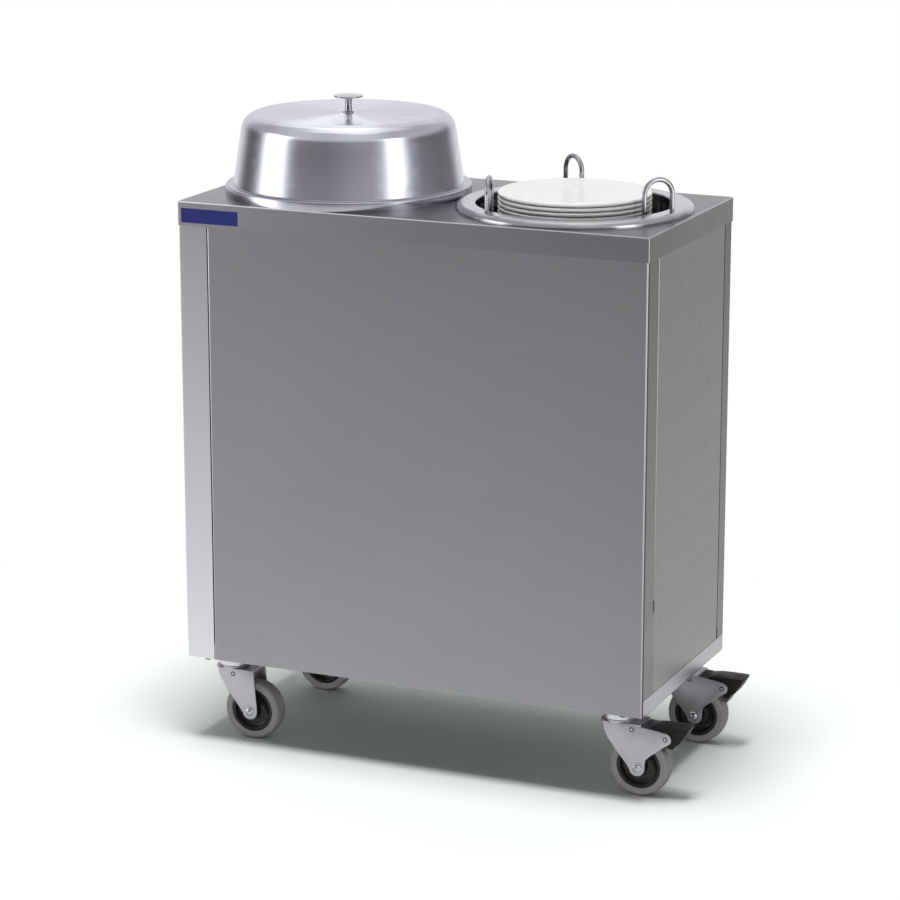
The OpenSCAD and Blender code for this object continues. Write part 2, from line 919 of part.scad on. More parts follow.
// One face of the lid's wall, drawn from the skirt's foot to the middle of the top.
// The outer face has g = 0, and the inner face lies g inside it.
function lid_face(g) =
    let (
        a = lid_lean_angle,
        top_c = lid_h - lid_shoulder_r,
        tangent_z = top_c + lid_shoulder_r * sin(a),
        wall_low_z = lid_skirt_h + lid_fillet_r,
        tangent_r = lid_wall_r - (tangent_z - wall_low_z) * lid_lean,
        shoulder_x = tangent_r - lid_shoulder_r * cos(a)
    )
    concat(
        [[lid_r - g, 0]],
        arc([lid_r - lid_edge_r, lid_skirt_h - lid_edge_r], lid_edge_r - g, lid_edge_r - g, 0, 90),
        arc([lid_wall_r + lid_fillet_r, wall_low_z], lid_fillet_r + g, lid_fillet_r + g, 270, 180 + a),
        arc([shoulder_x, top_c], lid_shoulder_r - g, lid_shoulder_r - g, a, 90),
        [[screw_r + hole_fit, lid_h - g]]
    );

function reversed(list) = [for (i = [len(list) - 1:-1:0]) list[i]];

module lid_shell() {
    color("#c6c5ca")
        translate([left_x, 0, lid_z])
            rotate_extrude()
                polygon(concat(lid_face(0), reversed(lid_face(lid_t))));
}

module lid_knob() {
    disc_low = knob_h - knob_dome - knob_t;
    color("#d2d1d6")
        translate([left_x, 0, lid_z + lid_h])
            difference() {
                rotate_extrude()
                    polygon(concat(
                        [[0, 0], [knob_foot_r, 0], [knob_foot_r, knob_foot_h]],
                        [[knob_stem_d / 2, knob_foot_h], [knob_stem_d / 2, disc_low]],
                        arc([knob_r - knob_t / 2, disc_low + knob_t / 2],
                            knob_t / 2, knob_t / 2, -90, 90),
                        [[knob_r * flat_share, knob_h - knob_dome / 4], [0, knob_h]]
                    ));
                translate([0, 0, -cut])
                    cylinder(r = screw_r + running_fit, h = screw_grip + cut);
            }
}

module knob_screw() {
    color("#8d8c92")
        translate([left_x, 0, lid_z + lid_h - lid_t]) {
            translate([0, 0, -screw_head_h])
                cylinder(r = screw_head_r, h = screw_head_h);
            cylinder(r = screw_r, h = lid_t + screw_grip - seat_gap);
        }
}

// Places its children at each of the castors' bolts
module at_castor_bolts() {
    for (place = castor_places, bx = [-1, 1], by = [-1, 1])
        translate([place[0] + bx * bolt_pitch_x / 2, place[1] + by * bolt_pitch_y / 2, 0])
            children();
}

// Fixed half of each castor: bolted plate, upper race and kingpin
module castor_plates() {
    low = floor_z - castor_plate_t;
    race_low = crown_top + race_cup_h + seat_gap;
    color("#9d9ca2")
        for (place = castor_places)
            translate([place[0], place[1], 0])
                difference() {
                    union() {
                        translate([0, 0, low])
                            linear_extrude(castor_plate_t)
                                rounded_rect(castor_plate_l, castor_plate_w, bolt_head_r);
                        translate([0, 0, race_low])
                            cylinder(r = race_r, h = low - race_low);
                        translate([0, 0, crown_low - seat_gap])
                            cylinder(r = kingpin_r, h = low - crown_low);
                        translate([0, 0, crown_low - seat_gap - kingpin_head_h])
                            cylinder(r = kingpin_head_r, h = kingpin_head_h);
                    }
                    for (bx = [-1, 1], by = [-1, 1])
                        translate([bx * bolt_pitch_x / 2, by * bolt_pitch_y / 2, low - cut])
                            cylinder(r = bolt_r + hole_fit, h = castor_plate_t + 2 * cut);
                }
}

module castor_bolts() {
    head_top = floor_z - castor_plate_t;
    nut_low = floor_z + sheet_t + channel_t;
    color("#a4a3a8")
        at_castor_bolts() {
            translate([0, 0, head_top - bolt_head_h])
                cylinder(r = bolt_head_r, h = bolt_head_h, $fn = nut_sides);
            translate([0, 0, head_top])
                cylinder(r = bolt_r, h = nut_low - head_top);
            translate([0, 0, nut_low])
                cylinder(r = bolt_head_r, h = bolt_nut_h, $fn = nut_sides);
        }
}

// Back edge of a fork's side, as shares of its length and height
fork_back_shares = [[0.97, 0.92], [0.87, 0.72], [0.64, 0.42], [0.4, 0.18]];
// Where the fork's edges meet its round foot, and the sides' rounded brake ear
foot_angle = 222;
ear_low_angle = -60;
ear_high_angle = 80;

// Side outline of a fork, with the axle at the origin of X and the floor at z = 0
module fork_side_2d(braked) {
    back = castor_trail + sqrt(pow(crown_r, 2) - pow(fork_w / 2 - fork_t, 2));
    height = crown_top - wheel_r;
    front = boss_r / 2;
    axle_at = [0, wheel_r];
    translate(axle_at)
        circle(boss_r);
    polygon(concat(
        [[-back, crown_top]],
        [for (share = fork_back_shares) [-back * share[0], wheel_r + height * share[1]]],
        [axle_at + boss_r * [cos(foot_angle), sin(foot_angle)], axle_at],
        [[boss_r, wheel_r], [boss_r, wheel_r + boss_r], [front, crown_top]]
    ));
    if (braked) {
        ear = [brake_reach, brake_pivot_z];
        translate(ear)
            circle(ear_r);
        polygon([
            [front - boss_r, crown_top - ear_drop], [front - boss_r, wheel_r + boss_r],
            [boss_r, wheel_r + boss_r],
            ear + ear_r * [cos(ear_low_angle), sin(ear_low_angle)],
            ear + ear_r * [cos(ear_high_angle), sin(ear_high_angle)]
        ]);
    }
}

// Swivelling fork, drawn with its swivel at the origin and its axle towards +X
module fork(braked) {
    color("#b5b4b9")
        difference() {
            union() {
                for (side = [-1, 1])
                    translate([castor_trail, side > 0 ? fork_w / 2 : -fork_w / 2 + fork_t, 0])
                        rotate([90, 0, 0])
                            linear_extrude(fork_t)
                                fork_side_2d(braked);
                translate([0, 0, crown_low])
                    intersection() {
                        cylinder(r = crown_r, h = crown_t);
                        translate([-crown_r, -fork_w / 2, 0])
                            cube([2 * crown_r, fork_w, crown_t]);
                    }
                translate([0, -fork_w / 2, crown_low])
                    cube([castor_trail + boss_r / 2, fork_w, crown_t]);
                translate([0, 0, crown_top])
                    cylinder(r = race_r, h = race_cup_h);
                if (braked)
                    translate([castor_trail + brake_reach, fork_w / 2, brake_pivot_z])
                        rotate([90, 0, 0])
                            cylinder(r = pedal_pin_r, h = fork_w);
            }
            translate([0, 0, crown_low - cut])
                cylinder(r = kingpin_r + running_fit, h = crown_t + race_cup_h + 2 * cut);
            translate([castor_trail, fork_w / 2 + cut, wheel_r])
                rotate([90, 0, 0])
                    cylinder(r = axle_r + running_fit, h = fork_w + 2 * cut);
        }
}

// Axle bolt: round head on the front side, nut on the back side
module axle() {
    color("#c4c3c8")
        translate([castor_trail, fork_w / 2, wheel_r])
            rotate([90, 0, 0]) {
                cylinder(r = axle_r, h = fork_w);
                translate([0, 0, fork_w])
                    cylinder(r1 = axle_head_r, r2 = axle_head_r / 2, h = axle_head_h);
                translate([0, 0, -axle_nut_h])
                    cylinder(r = axle_head_r, h = axle_nut_h, $fn = nut_sides);
            }
}

module hub() {
    boss_w = fork_w - 2 * fork_t - 2 * hub_side_gap;
    rim_w = wheel_w - 2 * hub_side_gap;
    color("#26262a")
        translate([castor_trail, 0, wheel_r])
            rotate([90, 0, 0])
                difference() {
                    union() {
                        cylinder(r = hub_boss_r, h = boss_w, center = true);
                        cylinder(r = hub_r, h = hub_web_t, center = true);
                        difference() {
                            cylinder(r = hub_r, h = rim_w, center = true);
                            cylinder(r = hub_r - hub_rim_t, h = rim_w + 2 * cut, center = true);
                        }
                    }
                    cylinder(r = axle_r + running_fit, h = boss_w + 2 * cut, center = true);
                }
}

module tyre() {
    half = wheel_w / 2;
    side_r = wheel_r - tyre_crown;
    color("#7b7779")
        translate([castor_trail, 0, wheel_r])
            rotate([90, 0, 0])
                rotate_extrude()
                    polygon(concat(
                        [[hub_r, -half]],
                        arc([side_r - tyre_edge_r, -half + tyre_edge_r], tyre_edge_r, tyre_edge_r, -90, 0),
                        [[wheel_r, -half / 3], [wheel_r, half / 3]],
                        arc([side_r - tyre_edge_r, half - tyre_edge_r], tyre_edge_r, tyre_edge_r, 0, 90),
                        [[hub_r, half]]
                    ));
}

// Side outline of the brake pedal, as shares of its reach and its height over the pivot
pedal_shares = [
    [0, 0.6], [0.1, 0.9], [0.5, 1], [0.93, 1], [1, 0.95], [1, 0.75], [0.78, -0.45],
    [0.7, -0.6], [0.66, -0.95], [0.53, -0.95], [0.45, -0.7], [0.3, -0.3]
];

module pedal() {
    reach = pedal_tip_x - pedal_back;
    over = pedal_top_z - brake_pivot_z;
    color("#232325")
        translate([castor_trail, pedal_w / 2, 0])
            rotate([90, 0, 0])
                linear_extrude(pedal_w)
                    difference() {
                        polygon([for (share = pedal_shares)
                            [pedal_back + reach * share[0], brake_pivot_z + over * share[1]]]);
                        translate([brake_reach, brake_pivot_z])
                            circle(pedal_pin_r + running_fit);
                    }
}

// Pad under the pedal that meets the tyre when the pedal is pressed
pad_shares = [[-0.07, -0.68], [-0.04, -1.38], [0.17, -1.51], [0.37, -0.83]];

module brake_pad() {
    reach = pedal_tip_x - brake_reach;
    over = pedal_top_z - brake_pivot_z;
    color("#98979d")
        difference() {
            translate([castor_trail, pad_w / 2, 0])
                rotate([90, 0, 0])
                    linear_extrude(pad_w)
                        polygon([for (share = pad_shares)
                            [brake_reach + reach * share[0], brake_pivot_z + over * share[1]]]);
            pedal_space();
        }
}

// Solid that fills the pedal, to cut its seat in the pad
module pedal_space() {
    reach = pedal_tip_x - pedal_back;
    over = pedal_top_z - brake_pivot_z;
    translate([castor_trail, pedal_w / 2, 0])
        rotate([90, 0, 0])
            linear_extrude(pedal_w)
                polygon([for (share = pedal_shares)
                    [pedal_back + reach * share[0], brake_pivot_z + over * share[1]]]);
}

module at_castor(i) {
    translate([castor_places[i][0], castor_places[i][1], 0])
        children();
}

module fork_front_left() {
    at_castor(FRONT_LEFT)
        fork(false);
}

module fork_front_right() {
    at_castor(FRONT_RIGHT)
        fork(true);
}

module fork_rear_left() {
    at_castor(REAR_LEFT)
        fork(false);
}

module fork_rear_right() {
    at_castor(REAR_RIGHT)
        fork(true);
}

module axle_front_left() {
    at_castor(FRONT_LEFT)
        axle();
}

module axle_front_right() {
    at_castor(FRONT_RIGHT)
        axle();
}

module axle_rear_left() {
    at_castor(REAR_LEFT)
        axle();
}

module axle_rear_right() {
    at_castor(REAR_RIGHT)
        axle();
}

module hub_front_left() {
    at_castor(FRONT_LEFT)
        hub();
}

module hub_front_right() {
    at_castor(FRONT_RIGHT)
        hub();
}

module hub_rear_left() {
    at_castor(REAR_LEFT)
        hub();
}

module hub_rear_right() {
    at_castor(REAR_RIGHT)
        hub();
}

module tyre_front_left() {
    at_castor(FRONT_LEFT)
        tyre();
}

module tyre_front_right() {
    at_castor(FRONT_RIGHT)
        tyre();
}

module tyre_rear_left() {
    at_castor(REAR_LEFT)
        tyre();
}

module tyre_rear_right() {
    at_castor(REAR_RIGHT)
        tyre();
}

module pedal_front_right() {
    at_castor(FRONT_RIGHT)
        pedal();
}

module pedal_rear_right() {
    at_castor(REAR_RIGHT)
        pedal();
}

module brake_pad_front_right() {
    at_castor(FRONT_RIGHT)
        brake_pad();
}

module brake_pad_rear_right() {
    at_castor(REAR_RIGHT)
        brake_pad();
}

worktop();
front_panel();
rear_panel();
left_end_panel();
right_end_panel();
corner_posts();
base_tray();
top_frame();
castor_channels();
rim_plate();
tray_plugs();
panel_clips();
left_ring();
right_ring();
left_hanger();
right_hanger();
hoop_sockets();
guide_rods();
bottom_rings();
rod_nuts();
stop_collars();
left_platform();
left_spider();
left_springs();
right_platform();
right_spider();
right_springs();
plate_stack();
left_hoop_side();
left_hoop_back();
left_hoop_front();
right_hoop_side();
right_hoop_back();
right_hoop_front();
lid_shell();
lid_knob();
knob_screw();
castor_plates();
castor_bolts();
fork_front_left();
fork_front_right();
fork_rear_left();
fork_rear_right();
axle_front_left();
axle_front_right();
axle_rear_left();
axle_rear_right();
hub_front_left();
hub_front_right();
hub_rear_left();
hub_rear_right();
tyre_front_left();
tyre_front_right();
tyre_rear_left();
tyre_rear_right();
pedal_front_right();
pedal_rear_right();
brake_pad_front_right();
brake_pad_rear_right();
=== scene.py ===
import math

import bmesh
import bpy
from mathutils import Matrix, Vector


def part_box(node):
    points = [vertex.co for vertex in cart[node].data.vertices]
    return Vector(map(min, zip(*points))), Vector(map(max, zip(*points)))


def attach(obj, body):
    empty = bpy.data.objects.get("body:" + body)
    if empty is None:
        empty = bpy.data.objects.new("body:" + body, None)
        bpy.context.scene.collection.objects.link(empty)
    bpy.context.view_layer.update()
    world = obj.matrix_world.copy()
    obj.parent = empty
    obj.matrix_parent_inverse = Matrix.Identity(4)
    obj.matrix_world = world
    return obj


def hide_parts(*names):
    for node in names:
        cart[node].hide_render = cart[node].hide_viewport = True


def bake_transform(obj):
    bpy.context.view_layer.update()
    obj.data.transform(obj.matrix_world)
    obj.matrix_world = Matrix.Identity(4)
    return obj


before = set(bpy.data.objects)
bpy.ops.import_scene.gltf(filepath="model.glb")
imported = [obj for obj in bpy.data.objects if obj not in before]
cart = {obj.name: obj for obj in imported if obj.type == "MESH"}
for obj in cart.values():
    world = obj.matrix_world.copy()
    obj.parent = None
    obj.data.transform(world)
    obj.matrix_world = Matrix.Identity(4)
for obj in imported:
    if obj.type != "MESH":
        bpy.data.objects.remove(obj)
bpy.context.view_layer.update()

# Studio. A white sheet of floor under the cart, a lamp and a soft box overhead, two tall
# soft boxes at the sides, whose edges show in the spun lid and the rings, and a front card.
picture_size, focal_pixels, sensor = 900, 3235.77, 36
view_turn, view_rise = math.radians(23.53), math.radians(14.36)
camera_data = bpy.data.cameras.new("camera")
camera = bpy.data.objects.new("camera", camera_data)
bpy.context.scene.collection.objects.link(camera)
camera_data.sensor_width = sensor
camera_data.lens = focal_pixels / picture_size * sensor
camera_data.clip_start, camera_data.clip_end = 0.05, 80
view_back = Vector((
    math.sin(view_turn) * math.cos(view_rise),
    -math.cos(view_turn) * math.cos(view_rise),
    math.sin(view_rise),
))
camera.location = (2.0541, -4.7430, 1.81921)
camera.rotation_mode = "QUATERNION"
camera.rotation_quaternion = (-view_back).to_track_quat("-Z", "Y")
bpy.context.scene.camera = camera
bpy.context.scene.view_settings.view_transform = "Standard"


def add(name, mesh):
    """Puts a mesh in the scene as an object at the origin."""
    piece = bpy.data.objects.new(name, mesh)
    bpy.context.scene.collection.objects.link(piece)
    return piece


def node(tree, kind, **values):
    """Adds one node to a tree and sets its properties and its named sockets."""
    made = tree.nodes.new(kind)
    for key, value in values.items():
        if hasattr(made, key):
            setattr(made, key, value)
        else:
            made.inputs[key.replace("_", " ")].default_value = value
    return made


def math_node(tree, operation, *parts):
    """Works out one sum of sockets and plain numbers."""
    made = node(tree, "ShaderNodeMath", operation=operation)
    for part, socket in zip(parts, made.inputs):
        if isinstance(part, (int, float)):
            socket.default_value = part
        else:
            tree.links.new(part, socket)
    return made.outputs[0]


def soft_step(tree, value, low, high):
    """Rises smoothly from 0 to 1 between two values."""
    made = node(tree, "ShaderNodeMapRange", interpolation_type="SMOOTHSTEP", From_Min=low, From_Max=high)
    tree.links.new(value, made.inputs["Value"])
    return made.outputs["Result"]


def tint(tree, value, dark, light):
    """Mixes two colours by a value."""
    made = node(tree, "ShaderNodeMix", data_type="RGBA")
    made.inputs[6].default_value = (*dark, 1)
    made.inputs[7].default_value = (*light, 1)
    tree.links.new(value, made.inputs[0])
    return made.outputs[2]


def light_paths(tree):
    """The kinds of ray, and a mask of those from the camera or through glass."""
    rays = node(tree, "ShaderNodeLightPath").outputs
    return rays, math_node(tree, "MAXIMUM", rays["Is Camera Ray"], rays["Is Transmission Ray"])


def put_out(tree, mask, first, second, kind):
    """Mixes two shaders by a mask into the tree's output."""
    blend = node(tree, "ShaderNodeMixShader")
    tree.links.new(mask, blend.inputs[0])
    tree.links.new(first.outputs[0], blend.inputs[1])
    tree.links.new(second.outputs[0], blend.inputs[2])
    tree.links.new(blend.outputs[0], node(tree, kind).inputs[0])


# The paper is mid grey to other light, so that it throws little up on the cart, and white
# where it is seen. Past the shadow it is plain white.
paper_reach, shadow_reach, white_reach = 14, 0.66, 1.35
paper, paper_seen = (0.42, 0.42, 0.43), (1.52, 1.63, 1.58)
floor_mesh = bpy.data.meshes.new("floor")
floor_corners = [(x * paper_reach, y * paper_reach, 0) for x, y in ((-1, -1), (1, -1), (1, 1), (-1, 1))]
floor_mesh.from_pydata(floor_corners, [], [(0, 1, 2, 3)])
floor = add("floor", floor_mesh)
floor_paint = bpy.data.materials.new("studio floor")
floor_paint.use_nodes = True
tree = floor_paint.node_tree
tree.nodes.clear()
place = node(tree, "ShaderNodeTexCoord")
reach = node(tree, "ShaderNodeVectorMath", operation="LENGTH")
tree.links.new(place.outputs["Object"], reach.inputs[0])
far = soft_step(tree, reach.outputs["Value"], shadow_reach, white_reach)
rays, shown = light_paths(tree)
shown = math_node(tree, "MAXIMUM", shown, rays["Is Glossy Ray"])
card = node(tree, "ShaderNodeBsdfDiffuse")
tree.links.new(tint(tree, shown, paper, paper_seen), card.inputs["Color"])
white = node(tree, "ShaderNodeEmission", Color=(1, 1, 1, 1), Strength=1.0)
put_out(tree, math_node(tree, "MULTIPLY", far, shown), card, white, "ShaderNodeOutputMaterial")
floor_mesh.materials.append(floor_paint)


def between(tree, value, low, high, from_low=0.0, from_high=1.0):
    """Maps a value to a range."""
    made = node(tree, "ShaderNodeMapRange", From_Min=from_low, From_Max=from_high, To_Min=low, To_Max=high)
    tree.links.new(value, made.inputs["Value"])
    return made.outputs["Result"]


def level_heading(tree, way):
    """The heading of a direction or a place, seen from above, as a vector of length 1."""
    level = node(tree, "ShaderNodeVectorMath", operation="MULTIPLY")
    level.inputs[1].default_value = (1, 1, 0)
    tree.links.new(way, level.inputs[0])
    heading = node(tree, "ShaderNodeVectorMath", operation="NORMALIZE")
    tree.links.new(level.outputs[0], heading.inputs[0])
    return heading.outputs[0]


def toward(tree, heading, aim):
    """How closely a heading points to an aim, from -1 to 1."""
    made = node(tree, "ShaderNodeVectorMath", operation="DOT_PRODUCT")
    made.inputs[1].default_value = aim
    tree.links.new(heading, made.inputs[0])
    return made.outputs["Value"]


# The room round the paper: white where it is seen, and for gloss a white backdrop behind the
# cart, a lighter ceiling and right side, and a darker left side and front.
backdrop_aim, right_aim = (-0.4, 0.917, 0), (0.9455, 0.3256, 0)
world = bpy.data.worlds.new("studio")
bpy.context.scene.world = world
world.use_nodes = True
tree = world.node_tree
tree.nodes.clear()
way = node(tree, "ShaderNodeTexCoord").outputs["Generated"]
rise = node(tree, "ShaderNodeSeparateXYZ")
tree.links.new(way, rise.inputs[0])
heading = level_heading(tree, way)
backdrop = soft_step(tree, toward(tree, heading, backdrop_aim), 0.55, 0.92)
high = soft_step(tree, rise.outputs["Z"], 0.05, 0.45)
lighter = between(tree, toward(tree, heading, right_aim), 0.09, 0.18, 0.02, 0.12)
rays, shown = light_paths(tree)
shine = math_node(tree, "ADD", math_node(tree, "MULTIPLY", high, 0.5), lighter)
shine = math_node(tree, "MAXIMUM", shine, backdrop)
fill = math_node(tree, "ADD", math_node(tree, "MULTIPLY", backdrop, 0.3), 0.09)
lift = math_node(tree, "MULTIPLY", math_node(tree, "SUBTRACT", shine, fill), rays["Is Glossy Ray"])
room = node(tree, "ShaderNodeBackground", Color=(0.97, 0.97, 1, 1))
tree.links.new(math_node(tree, "ADD", fill, lift), room.inputs["Strength"])
white = node(tree, "ShaderNodeBackground", Color=(1, 1, 1, 1), Strength=1.0)
put_out(tree, shown, room, white, "ShaderNodeOutputWorld")


def soft_box(name, at, to, wide, tall, brightness, screened=None):
    """An area lamp whose face is as bright as the number given, 1 being white."""
    lamp = bpy.data.lights.new(name, "AREA")
    lamp.shape, lamp.size, lamp.size_y = "RECTANGLE", wide, tall
    lamp.energy = brightness * math.pi * wide * tall
    box = bpy.data.objects.new(name, lamp)
    bpy.context.scene.collection.objects.link(box)
    box.location = at
    box.rotation_mode = "QUATERNION"
    box.rotation_quaternion = (Vector(to) - Vector(at)).to_track_quat("-Z", "Y")
    box.light_linking.receiver_collection = screened
    return box


def around(degrees, distance, height):
    """A place at a distance and a height round the cart."""
    a = math.radians(degrees)
    return (distance * math.cos(a), distance * math.sin(a), height)


off_the_floor = bpy.data.collections.new("screened from the floor")
off_the_floor.objects.link(floor)
off_the_floor.collection_objects[0].light_linking.link_state = "EXCLUDE"
lamp_above = soft_box("overhead lamp", (0.1, -0.55, 5.0), (0, 0, 0), 1.6, 1.6, 15.5)
lamp_above.visible_glossy = False
soft_box("overhead box", (0, 0.3, 5.1), (0, 0, 0), 3.6, 3.6, 0.5)
soft_box("left box", around(-149, 3.2, 1.35), (0, 0, 1.0), 1.7, 2.1, 2.2, off_the_floor)
soft_box("right box", around(-17, 3.2, 1.35), (0, 0, 1.0), 1.15, 2.1, 2.2, off_the_floor)
front_card = soft_box("front card", around(-66, 4.2, 0.9), (0, 0, 0.8), 2.4, 1.6, 5.0, off_the_floor)
front_card.visible_glossy = False

# Sheet steel of the cabinet. Satin stainless steel, brushed along its length, with
# faint rolled bands and the smudges that hands and cloths leave on it.


def effect_group(name, inputs, outputs):
    """Starts a shader node group with named sockets."""
    group = bpy.data.node_groups.new(name, "ShaderNodeTree")
    for label, kind, value in inputs:
        socket = group.interface.new_socket(label, in_out="INPUT", socket_type=kind)
        if value is not None:
            socket.default_value = value
    for label, kind in outputs:
        group.interface.new_socket(label, in_out="OUTPUT", socket_type=kind)
    return group, group.nodes.new("NodeGroupInput"), group.nodes.new("NodeGroupOutput")


# Brushing: fine streaks that run along one axis
brushing, given, result = effect_group(
    "brushing",
    [("Place", "NodeSocketVector", None), ("Stretch", "NodeSocketVector", (4, 400, 400))],
    [("Streaks", "NodeSocketFloat"), ("Bands", "NodeSocketFloat")],
)
scaled = node(brushing, "ShaderNodeVectorMath", operation="MULTIPLY")
brushing.links.new(given.outputs["Place"], scaled.inputs[0])
brushing.links.new(given.outputs["Stretch"], scaled.inputs[1])
streaks = node(brushing, "ShaderNodeTexNoise", Scale=1.0, Detail=3.0, Roughness=0.65)
brushing.links.new(scaled.outputs[0], streaks.inputs["Vector"])
wide = node(brushing, "ShaderNodeVectorMath", operation="MULTIPLY")
wide.inputs[1].default_value = (0.05, 0.05, 0.05)
brushing.links.new(scaled.outputs[0], wide.inputs[0])
bands = node(brushing, "ShaderNodeTexNoise", Scale=1.0, Detail=2.0, Roughness=0.5)
brushing.links.new(wide.outputs[0], bands.inputs["Vector"])
brushing.links.new(streaks.outputs[0], result.inputs["Streaks"])
brushing.links.new(bands.outputs[0], result.inputs["Bands"])

# Handling: large soft patches and small smudges
handling, given, result = effect_group(
    "handling",
    [("Place", "NodeSocketVector", None), ("Patch size", "NodeSocketFloat", 4.0)],
    [("Patches", "NodeSocketFloat"), ("Smudges", "NodeSocketFloat")],
)
patches = node(handling, "ShaderNodeTexNoise", Detail=2.0, Roughness=0.45, Distortion=0.4)
handling.links.new(given.outputs["Place"], patches.inputs["Vector"])
handling.links.new(given.outputs["Patch size"], patches.inputs["Scale"])
smudges = node(handling, "ShaderNodeTexNoise", Scale=38.0, Detail=4.0, Roughness=0.6)
handling.links.new(given.outputs["Place"], smudges.inputs["Vector"])
handling.links.new(patches.outputs[0], result.inputs["Patches"])
handling.links.new(between(handling, smudges.outputs[0], 0.0, 1.0, 0.52, 0.78), result.inputs["Smudges"])


def material(name, colour, metallic, roughness, **plain):
    """Starts a material with its Principled shader, and returns the tree and the shader."""
    made = bpy.data.materials.new(name)
    made.use_nodes = True
    made.diffuse_color = (*colour, 1)
    shader = made.node_tree.nodes["Principled BSDF"]
    shader.inputs["Base Color"].default_value = (*colour, 1)
    shader.inputs["Metallic"].default_value = metallic
    shader.inputs["Roughness"].default_value = roughness
    for key, value in plain.items():
        shader.inputs[key.replace("_", " ")].default_value = value
    return made, made.node_tree, shader


def object_place(tree, centre=(0, 0, 0)):
    """Object coordinates, counted from the middle of the piece where one is given."""
    where = node(tree, "ShaderNodeTexCoord")
    moved = node(tree, "ShaderNodeMapping", vector_type="TEXTURE")
    moved.inputs["Location"].default_value = centre
    tree.links.new(where.outputs["Object"], moved.inputs["Vector"])
    return moved.outputs[0]


def use(tree, group, **values):
    """Places an effect in a material, with its own values or links."""
    made = tree.nodes.new("ShaderNodeGroup")
    made.node_tree = group
    for key, value in values.items():
        socket = made.inputs[key.replace("_", " ")]
        if hasattr(value, "is_linked"):
            tree.links.new(value, socket)
        else:
            socket.default_value = value
    return made


def relief(tree, shader, height, strength, distance):
    """Fine relief over the whole surface."""
    bump = node(tree, "ShaderNodeBump", Strength=strength, Distance=distance)
    tree.links.new(height, bump.inputs["Height"])
    tree.links.new(bump.outputs[0], shader.inputs["Normal"])


def along(tree, place, axis):
    """One coordinate of a place."""
    apart = node(tree, "ShaderNodeSeparateXYZ")
    tree.links.new(place, apart.inputs[0])
    return apart.outputs[axis]


def band(tree, place, axis, low, high):
    """Marks where a coordinate lies between two values."""
    value = along(tree, place, axis)
    above, below = math_node(tree, "GREATER_THAN", value, low), math_node(tree, "LESS_THAN", value, high)
    return math_node(tree, "MULTIPLY", above, below)


def fade(tree, place, axis, low, high, start=0.15, end=0.89):
    """Runs from one value to another along an axis, over the cabinet's height if nothing else is said."""
    return between(tree, along(tree, place, axis), low, high, start, end)


def marked(tree, base, mask, factor):
    """Multiplies a value where a mask is on."""
    change = math_node(tree, "MULTIPLY", mask, math_node(tree, "SUBTRACT", factor, 1.0))
    return math_node(tree, "MULTIPLY", base, math_node(tree, "ADD", change, 1.0))


def scale_colour(tree, colour, factor):
    """Makes a colour lighter or darker by a value."""
    made = node(tree, "ShaderNodeVectorMath", operation="SCALE")
    tree.links.new(colour, made.inputs[0])
    tree.links.new(factor, made.inputs["Scale"])
    return made.outputs[0]


def satin_steel(name, dark, light, rough, stretch, depth=0.12, marks=None):
    """Brushed sheet. The marks are a function that adds painted light and shade, as lighter and darker parts."""
    made, tree, shader = material(name, light, 1.0, rough)
    spot = object_place(tree)
    grain = use(tree, brushing, Place=spot, Stretch=stretch)
    wear = use(tree, handling, Place=spot, Patch_size=3.0)
    tone = math_node(tree, "MULTIPLY", grain.outputs["Streaks"], 0.5)
    tone = math_node(tree, "ADD", tone, math_node(tree, "MULTIPLY", wear.outputs["Patches"], 0.5))
    colour = tint(tree, tone, dark, light)
    if marks:
        colour = scale_colour(tree, colour, marks(tree, spot))
    tree.links.new(colour, shader.inputs["Base Color"])
    matt = math_node(tree, "MULTIPLY", grain.outputs["Bands"], 0.06)
    matt = math_node(tree, "ADD", matt, math_node(tree, "MULTIPLY", wear.outputs["Smudges"], 0.05))
    tree.links.new(math_node(tree, "ADD", matt, rough - 0.03), shader.inputs["Roughness"])
    relief(tree, shader, grain.outputs["Streaks"], depth, 0.0002)
    return made


# Where the sheets' undersides, cut edges, bends and folded faces lie
tray_under = (0.14, 0.1468)
front_cut, front_bend, front_fold = (-0.36, -0.3502), (0.4004, 0.4028), (0.4028, 0.41)
end_cut = (-0.16, -0.1468)
post_end = (0.4025, 0.41)
rim_end, rim_front = (0.4046, 0.41), (-0.2, -0.1971)
rim_bends = (("X", 0.4034), ("Y", 0.1959), ("Z", 0.9134))


def tray_painted_shade(tree, place):
    """The underside is left dark, as painted shade."""
    return between(tree, band(tree, place, "Z", *tray_under), 1.0, 0.3)


def front_painted_light(tree, place):
    """Painted light: lighter low down and to the left, a painted highlight on the cut edge at the seam and on the bend
    at the other end, and painted shade on its fold.
    """
    shade = math_node(
        tree, "MULTIPLY", fade(tree, place, "Z", 1.18, 0.86), fade(tree, place, "X", 1.1, 0.97, -0.35, 0.4)
    )
    bright = fade(tree, place, "Z", 1.4, 3.0)
    shade = marked(tree, shade, band(tree, place, "X", *front_cut), bright)
    shade = marked(tree, shade, band(tree, place, "X", *front_bend), bright)
    return marked(tree, shade, band(tree, place, "X", *front_fold), 0.17)


def end_painted_light(tree, place):
    """Painted light: darker towards the top, and a painted highlight on the cut edge at the front seam, brighter
    towards the top.
    """
    bright = fade(tree, place, "Z", 0.8, 3.2)
    return marked(tree, fade(tree, place, "Z", 0.98, 0.64), band(tree, place, "Y", *end_cut), bright)


def post_painted_light(tree, place):
    """Upright grain, with a painted reflection of the light floor making it lighter low down. The end faces carry
    painted shade.
    """
    return marked(tree, fade(tree, place, "Z", 1.75, 0.78), band(tree, place, "X", *post_end), 0.26)


